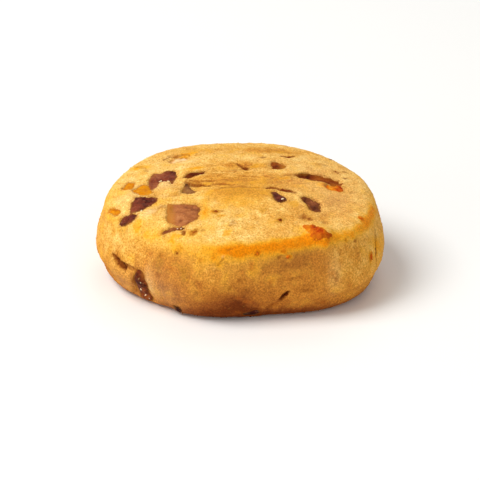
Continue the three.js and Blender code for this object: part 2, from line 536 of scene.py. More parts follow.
class Surface:
    """The skin of one or more meshes, to find places on it."""

    def __init__(self, *meshes: bpy.types.Mesh) -> None:
        """Keeps a search tree of the skin as it is now.

        Args:
            *meshes: the dough's mesh, and those of the dice where things may sit on them.
        """
        points, faces = [], []
        for mesh in meshes:
            before = len(points)
            points += [Vector(p) for p in read_points(mesh)]
            faces += [tuple(i + before for i in face.vertices) for face in mesh.polygons]
        self.tree = BVHTree.FromPolygons(points, faces)

    def seat(self, point: np.ndarray) -> Seat:
        """Finds the nearest place on the skin.

        Args:
            point: a point near the skin.

        Returns:
            The seat there, with its up axis along the cookie's own up on the side.
        """
        steepest_top = 0.7
        foot, out, _, _ = self.tree.find_nearest(Vector(point))
        on_side = abs(out.z) < steepest_top
        return Seat(np.array(foot), np.array(out), UP if on_side else ACROSS)

    def seat_below(self, x: float, y: float) -> Seat:
        """Finds the place on the top face straight below a point.

        Args:
            x: along the cookie's length.
            y: across it.

        Returns:
            The seat there.
        """
        above_all = 40.0
        foot, out, _, _ = self.tree.ray_cast(Vector((x, y, above_all)), Vector((0, 0, -1)))
        return Seat(np.array(foot), np.array(out), ACROSS)

    def height_over(self, seat: Seat, place: np.ndarray) -> float:
        """Measures how high the skin stands over a seat's flat plane.

        Args:
            seat: the seat.
            place: a place on its flat axes.

        Returns:
            The height, negative where the skin curves away, and never below a floor.
        """
        above, lowest = 4.0, -2.5
        start = seat.world(np.array([*place, above]))
        _, _, _, down = self.tree.ray_cast(Vector(start), Vector(-seat.out), above - lowest)
        return lowest if down is None else above - down


# ---- Finishes ----


@dataclass(frozen=True)
class ButterDoughFinish:
    """Butter-rich cookie dough, sliced from a log and baked.

    To the eye it is dry, sandy and matt: pale straw where the knife cut it, orange where the
    butter browned along the edge, tan down the side and brown where it touched the tray.
    """

    bake_colours: Ramp = (
        (0.0, "#FAD88E"),
        (0.16, "#F1C069"),
        (0.32, "#E4A94F"),
        (0.48, "#D38F35"),
        (0.64, "#BE762A"),
        (0.82, "#965220"),
        (1.0, "#6B3011"),
    )
    butter_colours: Ramp = (
        (0.0, "#F3BC4C"),
        (0.5, "#F2AC2A"),
        (1.0, "#E98807"),
    )
    cream: str = "#FCDFA6"
    freckle: str = "#B5601C"
    chestnut_stain: str = "#8A4410"
    # Painted shade: the colour laid into cracks, furrows and the gaps round the dice.
    crevice_shade: str = "#451A08"
    # Flour and sugar grains are about 0.1 mm: they are drawn 0.3 mm wide so that they show.
    grain_mm: float = 0.3
    sand_mm: float = 0.5
    mottle_mm: float = 1.9
    oil_mm: float = 3.1
    patch_mm: float = 7.0
    freckle_mm: float = 2.6
    streak_mm: Point = (5.0, 0.32, 0.32)
    drag_contrast: float = 0.9
    butter_reach: float = 1.4
    butter_shine: float = 0.16
    crack_fade: float = 1.6
    grit_mm: float = 0.28
    grit_height_mm: float = 0.11
    grit_shade: float = 1.1
    grit_bake: float = 0.5
    roughness: float = 0.74
    ior: float = 1.45
    specular: float = 0.05
    # A trace of light passes into the dough, which takes the hardness off its shadows.
    glow: float = 0.04
    glow_mm: float = 0.8
    glow_colour: Point = (1.0, 0.55, 0.2)
    bump: float = 0.75

    def material(self) -> bpy.types.Material:
        """Builds the dough's material.

        Returns:
            A material that reads the attributes bake, butter, stain, crevice (painted shade), streak and
            cream.
        """
        made, tree = blank_material("baked_butter_dough")
        node = partial(add_node, tree)
        place = node("ShaderNodeTexCoord").outputs["Object"]
        bake, butter, stain, crevice_shade, streak, cream = (
            node("ShaderNodeAttribute", attribute_name=name).outputs["Fac"]
            for name in ("bake", "butter", "stain", "crevice_shade", "streak", "cream")
        )
        sand, mottle, oil, patch, grit = (
            node(NOISE, {"Vector": place, "Scale": 1 / (size * MM), "Detail": fine, "Roughness": rough})
            for size, fine, rough in (
                (self.sand_mm, 3.0, 0.7),
                (self.mottle_mm, 3.0, 0.55),
                (self.oil_mm, 1.0, 0.5),
                (self.patch_mm, 2.0, 0.5),
                (self.grit_mm, 2.0, 0.6),
            )
        )
        stretch = tuple(1 / (size * MM) for size in self.streak_mm)
        lines_at = node("ShaderNodeMapping", {"Vector": place, "Scale": stretch})
        lines = node(NOISE, {"Vector": lines_at, "Scale": 1.0, "Detail": 2.0})
        grains, spots = (
            node(CELLS, {"Vector": place, "Scale": 1 / (size * MM)})
            for size in (self.grain_mm, self.freckle_mm)
        )
        tint = node("ShaderNodeSeparateColor", {"Color": grains.outputs["Color"]})
        # Soft steps: what is stepped, where the step starts and ends, and what it goes from and to.
        calm, unburnt, oil_spot, pale_grain, pale_dough, freckle, freckle_patch, freckle_bake = (
            node(
                STEP,
                {"Value": value, "From Min": low, "From Max": high, "To Min": first, "To Max": last},
                interpolation_type="SMOOTHSTEP",
            )
            for value, low, high, first, last in (
                (bake, 0.4, 0.75, 1.0, 0.4),
                (bake, 0.62, 0.8, 0.3, 0.0),
                (oil, 0.5, 0.72, 0.0, 1.0),
                (sand, 0.62, 0.72, 0.0, 1.0),
                (bake, 0.2, 0.5, 0.25, 0.0),
                (spots, 0.05, 0.3, 1.0, 0.0),
                (patch, 0.42, 0.6, 0.0, 1.0),
                (bake, 0.28, 0.5, 0.0, 0.5),
            )
        )
        # How far each place is browned, and how much butter shows there.
        grainy = ((tint, 0.08), (grit, -self.grit_bake), (sand, 0.3), (mottle, 0.6), (patch, 0.3))
        dragged = weighed(tree, 0.0, ((lines, self.drag_contrast),))
        drag = node(MATHS, {0: dragged, 1: streak}, operation="MULTIPLY")
        uneven = node(MATHS, {0: weighed(tree, 0.0, grainy), 1: calm, 2: drag}, operation="MULTIPLY_ADD")
        level = node(MATHS, {0: bake, 1: uneven}, operation="ADD", use_clamp=True)
        browned = node(RAMP, {0: level}, stops=self.bake_colours)
        oily = node(MATHS, {0: oil_spot, 1: unburnt, 2: butter}, operation="MULTIPLY_ADD")
        buttery = node(RAMP, {0: oily}, stops=self.butter_colours)
        spread = node(MATHS, {0: oily, 1: self.butter_reach}, operation="MULTIPLY")
        # The shares of the layers that lie over it, the first three broken up by the grain.
        buttered, creamed, stained = (
            node(
                MATHS,
                {0: share, 1: weighed(tree, 1.0, ((mottle, coarse), (sand, fine)))},
                operation="MULTIPLY",
                use_clamp=True,
            )
            for share, coarse, fine in ((spread, 0.9, 0.6), (cream, 0.8, 1.2), (stain, 0.8, 1.6))
        )
        paled = node(MATHS, {0: pale_grain, 1: pale_dough}, operation="MULTIPLY")
        spotted = node(MATHS, {0: freckle, 1: freckle_patch}, operation="MULTIPLY")
        freckled = node(MATHS, {0: spotted, 1: freckle_bake}, operation="MULTIPLY")
        # Painted shade: the crevice attribute darkens cracks, furrows and the gaps round the dice.
        shade_in_cracks = node(MATHS, {0: crevice_shade, 1: self.crack_fade}, operation="POWER")
        colour = browned.outputs[0]
        for share, layer in (
            (buttered, buttery),
            (creamed, linear(self.cream)),
            (paled, linear(self.cream)),
            (freckled, linear(self.freckle)),
            (stained, linear(self.chestnut_stain)),
            (shade_in_cracks, linear(self.crevice_shade)),
        ):
            colour = node(MIX, {0: share, 6: colour, 7: layer}, data_type="RGBA").outputs[2]
        shade = weighed(tree, 1.0, ((grit, self.grit_shade),))
        shaded = node("ShaderNodeHueSaturation", {"Color": colour, "Value": shade})
        dry = weighed(tree, self.roughness, ((sand, 0.3),))
        rasp = node(MATHS, {0: sand, 1: 0.8, 2: grit}, operation="MULTIPLY_ADD")
        bump = {"Strength": self.bump, "Distance": self.grit_height_mm * MM, "Height": rasp}
        dull = {0: butter, 1: -self.butter_shine, 2: dry}
        surface = {
            "Base Color": shaded,
            "Roughness": node(MATHS, dull, operation="MULTIPLY_ADD"),
            "IOR": self.ior,
            "Specular IOR Level": self.specular,
            "Subsurface Weight": self.glow,
            "Subsurface Radius": self.glow_colour,
            "Subsurface Scale": self.glow_mm * MM,
            "Normal": node("ShaderNodeBump", bump),
        }
        node("ShaderNodeOutputMaterial", {"Surface": node("ShaderNodeBsdfPrincipled", surface)})
        return made


@dataclass(frozen=True)
class ChestnutFinish:
    """Cooked chestnut in one of its states, from dry flesh to flesh soaked in syrup.

    The flesh is fine-grained and slightly fibrous, its skin thin and dark, and what was candied
    lets light in and glows amber.
    """

    name: str
    colours: Ramp
    fleck: str
    roughness: float
    specular: float
    glow: float = 0.0
    glow_mm: float = 1.2
    glow_colour: Point = (1.0, 0.4, 0.12)
    crust: str = "#BE7A26"
    fleck_from: float = 0.63
    fleck_edge: float = 0.11
    fleck_share: float = 0.55
    # The flesh is grained about 0.1 mm fine: it is drawn three times as coarse so that it shows.
    grain_mm: float = 0.34
    grain_contrast: float = 0.6
    vein_mm: float = 1.3
    vein_contrast: float = 0.7
    height_mm: float = 0.05
    bump: float = 0.8
    ior: float = 1.45

    def material(self) -> bpy.types.Material:
        """Builds the chestnut's material.

        Returns:
            A material that reads two attributes: tone, from light flesh at 0 to dark at 1, and
            gold, the share of dough crust that clings to the dice.
        """
        made, tree = blank_material(self.name)
        node = partial(add_node, tree)
        place = node("ShaderNodeTexCoord").outputs["Object"]
        tone, gold = (
            node("ShaderNodeAttribute", attribute_name=name).outputs["Fac"] for name in ("tone", "gold")
        )
        grain_at = {"Vector": place, "Scale": 1 / (self.grain_mm * MM), "Detail": 3.0, "Roughness": 0.65}
        vein_at = {"Vector": place, "Scale": 1 / (self.vein_mm * MM), "Detail": 2.0, "Distortion": 0.8}
        grain = node(NOISE, grain_at)
        vein = node(NOISE, vein_at)
        shade = weighed(tree, tone, ((grain, self.grain_contrast), (vein, self.vein_contrast)))
        start, end = self.fleck_from, self.fleck_from + self.fleck_edge
        fleck_at = {"Value": grain, "From Min": start, "From Max": end, "To Max": self.fleck_share}
        flecked = node(STEP, fleck_at)
        colour = node(RAMP, {0: shade}, stops=self.colours).outputs[0]
        for share, layer in ((flecked, self.fleck), (gold, self.crust)):
            colour = node(MIX, {0: share, 6: colour, 7: linear(layer)}, data_type="RGBA").outputs[2]
        bump = {"Strength": self.bump, "Distance": self.height_mm * MM, "Height": grain}
        surface = {
            "Base Color": colour,
            "Roughness": self.roughness,
            "IOR": self.ior,
            "Specular IOR Level": self.specular,
            "Subsurface Weight": self.glow,
            "Subsurface Radius": self.glow_colour,
            "Subsurface Scale": self.glow_mm * MM,
            "Normal": node("ShaderNodeBump", bump),
        }
        node("ShaderNodeOutputMaterial", {"Surface": node("ShaderNodeBsdfPrincipled", surface)})
        return made


class Chestnut(Enum):
    """The states that the cookie's chestnut dice are in, with finish and slot."""

    # Boiled flesh, cut with a knife: smooth and dull, pinkish brown.
    COOKED = (
        "chestnut_flesh",
        ChestnutFinish(
            "cooked_chestnut_flesh",
            ((0.0, "#C98C55"), (0.3, "#B26C3C"), (0.6, "#824524"), (0.85, "#562712"), (1.0, "#331008")),
            "#D0A274",
            0.62,
            0.06,
            glow=0.08,
        ),
    )
    # The thin inner skin left on the flesh: dark maroon, dull, with light scuffs.
    SKINNED = (
        "chestnut_skin",
        ChestnutFinish(
            "dark_inner_chestnut_skin",
            ((0.0, "#B06A40"), (0.35, "#843E27"), (0.7, "#511D14"), (1.0, "#2A0C08")),
            "#A87858",
            0.5,
            0.06,
            fleck_from=0.58,
            vein_contrast=0.9,
        ),
    )
    # Chestnut that was dipped in syrup and baked in: deep brown and uneven.
    GLAZED = (
        "chestnut_glaze",
        ChestnutFinish(
            "syrup_glazed_chestnut",
            ((0.0, "#C07C38"), (0.35, "#92481C"), (0.7, "#64280E"), (1.0, "#381206")),
            "#E2AE70",
            0.5,
            0.06,
            glow=0.12,
            grain_mm=0.6,
            vein_contrast=1.1,
            height_mm=0.08,
        ),
    )
    # Flesh soaked through with sugar: amber, and a little light passes into it.
    CANDIED = (
        "candied_chestnut",
        ChestnutFinish(
            "amber_candied_chestnut",
            ((0.0, "#E8A01C"), (0.35, "#DC8C0A"), (0.7, "#C87204"), (1.0, "#944A0A")),
            "#F0AC34",
            0.5,
            0.05,
            glow=0.1,
            fleck_from=0.6,
            vein_contrast=1.2,
        ),
    )
    # Crumbled dry flesh: almost white and chalky. Its tiny white flecks also serve as painted glints.
    MEALY_AND_GLINT = (
        "candied_chestnut",
        ChestnutFinish(
            "mealy_chestnut_crumb_and_glint",
            ((0.0, "#FFF3DC"), (0.4, "#F8DEB0"), (0.8, "#E9BC7C"), (1.0, "#D29A58")),
            "#FFFFFF",
            0.6,
            0.08,
            glow=0.1,
        ),
    )
    # Flesh that stood out and caught the heat: orange with dark red edges.
    TOASTED = (
        "toasted_chestnut",
        ChestnutFinish(
            "toasted_chestnut_edge",
            ((0.0, "#EC9C26"), (0.35, "#DC7A12"), (0.65, "#B43C0A"), (1.0, "#7E1604")),
            "#F0A838",
            0.6,
            0.04,
            crust="#E48C18",
            vein_contrast=1.0,
        ),
    )
    # Flesh that dried out at the surface: greyish brown and matt.
    DULL = (
        "chestnut_flesh",
        ChestnutFinish(
            "dull_dry_chestnut_flesh",
            ((0.0, "#C4965E"), (0.35, "#A4723E"), (0.7, "#764626"), (1.0, "#3E2010")),
            "#CCA67C",
            0.65,
            0.05,
            glow=0.06,
        ),
    )
    # Thin flesh that soaked up butter from the dough: warm brown and matt.
    BUTTERED = (
        "chestnut_flesh",
        ChestnutFinish(
            "butter_soaked_chestnut",
            ((0.0, "#CC8630"), (0.35, "#A85A18"), (0.7, "#7A320A"), (1.0, "#481402")),
            "#D89A48",
            0.6,
            0.04,
        ),
    )

    def __init__(self, slot: str, finish: ChestnutFinish) -> None:
        """Keeps the state's slot and finish, and no material yet.

        Args:
            slot: the name of its material slot.
            finish: what the state looks like.
        """
        self.slot = slot
        self.finish = finish
        self.made: bpy.types.Material | None = None

    def material(self) -> bpy.types.Material:
        """Makes the state's one material on first use.

        Returns:
            The material.
        """
        if self.made is None:
            self.made = self.finish.material()
        return self.made


# ---- What is laid out on the dough ----


@dataclass
class Furrow:
    """A slit, crack or crease: a bent line in the surface."""

    line: tuple[Point, ...]
    width: float
    depth: float
    # The share of painted shade along the furrow's middle.
    dark: float = 0.7
    stain: float = 0.3


@dataclass
class Dent:
    """A soft swell, or a hollow where its height is negative."""

    at: Point
    reach: Point
    height: float


@dataclass
class Patch:
    """A place where the dough baked lighter or darker, or took up butter or chestnut colour; a few are
    painted light, shade or highlight.
    """

    at: Point
    reach: Point
    bake: float = 0.0
    butter: float = 0.0
    stain: float = 0.0
    streak: float = 0.0
    cream: float = 0.0
    crisp: float = 0.0

    def share(self, points: np.ndarray, ragged: np.ndarray) -> np.ndarray:
        """Measures how much of the patch each point gets.

        Args:
            points: points of the cookie.
            ragged: a fine noise round 0, one number per point.

        Returns:
            1 in the middle and 0 outside, with a soft edge, or a ragged one as wide as crisp says.
        """
        tatter, starts, ends = 0.25, 0.18, 0.5
        near = falling(points, self.at, self.reach)
        if not self.crisp:
            return near
        return smooth(near + tatter * ragged, starts, ends + self.crisp)


@dataclass
class Mark:
    """A darker place on a dice, or a lighter one where its tone is negative."""

    at: Point
    reach: float
    tone: float


@dataclass
class Chip:
    """A fleck of chestnut pressed into the surface; the tiny pale ones laid on the dice are painted glints.
    """

    at: Point
    length: float
    width: float
    turn: float = 0.0
    height: float = 0.34
    shown: float = 0.1
    seat: Seat | None = None

    def find_seat(self, surface: Surface) -> None:
        """Settles where the chip sits.

        Args:
            surface: the dough's skin.
        """
        self.seat = surface.seat(np.array(self.at))

    def along(self) -> np.ndarray:
        """Works out how the chip lies.

        Returns:
            The direction of its length.
        """
        across, upward, _ = self.seat.axes()
        angle = math.radians(self.turn)
        return across * math.cos(angle) + upward * math.sin(angle)

    def nearness(self, points: np.ndarray) -> np.ndarray:
        """Returns 1 on the chip, falling softly to 0 just outside it.

        Args:
            points: points of the cookie.

        Returns:
            One share per point.
        """
        halo, fall = 0.3, 1.4
        away = points - self.seat.foot
        lengthwise = away @ self.along() / (self.length / 2 + halo)
        crosswise = away @ np.cross(self.seat.out, self.along()) / (self.width / 2 + halo)
        inward = away @ self.seat.out
        return np.exp(-fall * (lengthwise**2 + crosswise**2 + inward**2))


@dataclass
class Dice:
    """One dice of chestnut, seated flush in the dough.

    Its outline is what shows of it, in the cookie's own x and y on the top face and with z too
    on the side. A dice with no outline of its own takes that of its node, made a little uneven.
    """

    node: str
    kind: Chestnut
    outline: Outline = ()
    level: float = 0.0
    tone: float = 0.5
    gold_to: tuple[float, float] = (0.0, 0.0)
    gold_from: float = 1.0
    depth: float = 2.4
    voxel: float = 0.15
    rounding: int = 3
    crown: float = 0.14
    crown_width: float = 0.5
    # Painted shade in the gap round the dice's outline.
    rim_shade: float = 0.18
    rim_stain: float = 0.35
    unevenness: float = 0.22
    wave_mm: float = 2.4
    wave_seed: int = 12
    lump_mm: float = 0.9
    lump_height: float = 0.09
    marks: tuple[Mark, ...] = ()
    in_frame: bool = True
    seat: Seat | None = None
    flat: np.ndarray | None = None

    def find_seat(self, surface: Surface) -> None:
        """Settles where the dice sits and its outline on its own flat axes.

        Args:
            surface: the dough's smooth skin.
        """
        if self.outline and len(self.outline[0]) == 2:
            x, y = np.array(self.outline).mean(axis=0)
            self.seat = surface.seat_below(x, y)
            corners = [surface.seat_below(*corner).foot for corner in self.outline]
            self.flat = self.seat.local(np.array(corners))[:, :2]
        elif self.outline:
            corners = np.array(self.outline)
            self.seat = surface.seat(corners.mean(axis=0))
            self.flat = self.seat.local(corners)[:, :2]
        else:
            points = np.array([v.co for v in bpy.data.objects[self.node].data.vertices]) / MM
            self.seat = surface.seat(points.mean(axis=0))
            flat = np.unique(self.seat.local(points)[:, :2].round(3), axis=0)
            corners = flat[geometry.convex_hull_2d([Vector(p) for p in flat])]
            halfway = (corners + np.roll(corners, -1, axis=0)) / 2
            ring = np.stack([corners, halfway], axis=1).reshape(-1, 2)
            middle = ring.mean(axis=0)
            at = np.column_stack([ring, ring[:, 0]]) + self.seat.foot
            uneven = 1 + self.unevenness * sampled_noise(at, self.wave_mm, self.wave_seed)
            self.flat = middle + (ring - middle) * uneven[:, None]

    def edge_distance(self, points: np.ndarray) -> np.ndarray:
        """Measures how far points lie outside the dice's outline, seen straight on.

        Args:
            points: points of the cookie.

        Returns:
            Distances, negative inside, and large for points on other faces.
        """
        far, deepest, widest = 99.0, 3.0, 9.0
        local = self.seat.local(points)
        away = np.full(len(points), far)
        near = (np.abs(local[:, 2]) < deepest) & (np.linalg.norm(local[:, :2], axis=1) < widest)
        away[near] = signed_distance(local[near, :2], self.flat)
        return away

    def build(self, surface: Surface) -> bpy.types.Object:
        """Builds the dice and dresses it.

        Args:
            surface: the dough's smooth skin, which the dice follows.

        Returns:
            The finished piece.
        """
        grow = 0.45
        middle = self.flat.mean(axis=0)
        spread = self.flat - middle
        ring = middle + spread * (1 + grow / np.linalg.norm(spread, axis=1).mean())
        shell = bmesh.new()
        rims = []
        for height in (self.level, self.level - self.depth):
            places = np.column_stack([ring, np.full(len(ring), height)])
            rims.append([shell.verts.new(Vector(p) * MM) for p in self.seat.world(places)])
        top, bottom = rims
        shell.faces.new(top)
        shell.faces.new(bottom[::-1])
        for i in range(len(ring)):
            after = (i + 1) % len(ring)
            shell.faces.new([top[i], bottom[i], bottom[after], top[after]])
        bmesh.ops.recalc_face_normals(shell, faces=shell.faces)
        mesh = remeshed(shell, self.node + "_dice", self.voxel)
        relax(mesh, self.rounding)
        self._drape(mesh, surface)
        self._roughen(mesh)
        mesh.materials.clear()
        mesh.materials.append(self.kind.material())
        nodes = (self.node,) if self.in_frame else ()
        return set_in_place(self.node + "_dice", mesh, self.kind.slot, *nodes)

    def _drape(self, mesh: bpy.types.Mesh, surface: Surface) -> None:
        """Bends the flat dice along the dough's skin and lets its rim sink.

        Args:
            mesh: the dice's mesh.
            surface: the dough's smooth skin.
        """
        sunk_from = 0.35
        local = self.seat.local(read_points(mesh))
        away = signed_distance(local[:, :2], self.flat)
        local[:, 2] += [surface.height_over(self.seat, place) for place in local[:, :2]]
        local[:, 2] -= self.crown * smooth(away, -self.crown_width, sunk_from)
        write_points(mesh, self.seat.world(local))

    def _roughen(self, mesh: bpy.types.Mesh) -> None:
        """Gives the cut faces their lumps and the dice its tone.

        Args:
            mesh: the dice's mesh.
        """
        coarse_seed, fine_seed, finer, fine_share = 3, 7, 2.6, 0.6
        edge_tone, lump_tone = 0.12, 0.1
        most_gold, gold_fade, most_dust = 0.75, 1.5, 0.3
        points, normals = read_points(mesh), read_normals(mesh)
        coarse = sampled_noise(points, self.lump_mm, coarse_seed)
        fine = sampled_noise(points, self.lump_mm / finer, fine_seed)
        lumps = self.lump_height * (coarse + fine_share * fine)
        write_points(mesh, points + normals * lumps[:, None])
        local = self.seat.local(points)[:, :2]
        away = signed_distance(local, self.flat)
        tone = self.tone + edge_tone * smooth(away, -0.5, 0.1) + lump_tone * coarse
        for mark in self.marks:
            tone += mark.tone * falling(points, mark.at, (mark.reach,) * 3)
        store(mesh, "tone", tone)
        towards = (local - self.flat.mean(axis=0)) @ np.array(self.gold_to) + 0.4 * coarse
        gold = most_gold * smooth(towards, self.gold_from, self.gold_from + gold_fade)
        dusted = most_dust * smooth(away + 0.12 * fine, -0.32, 0.02)
        store(mesh, "gold", np.maximum(gold, dusted))


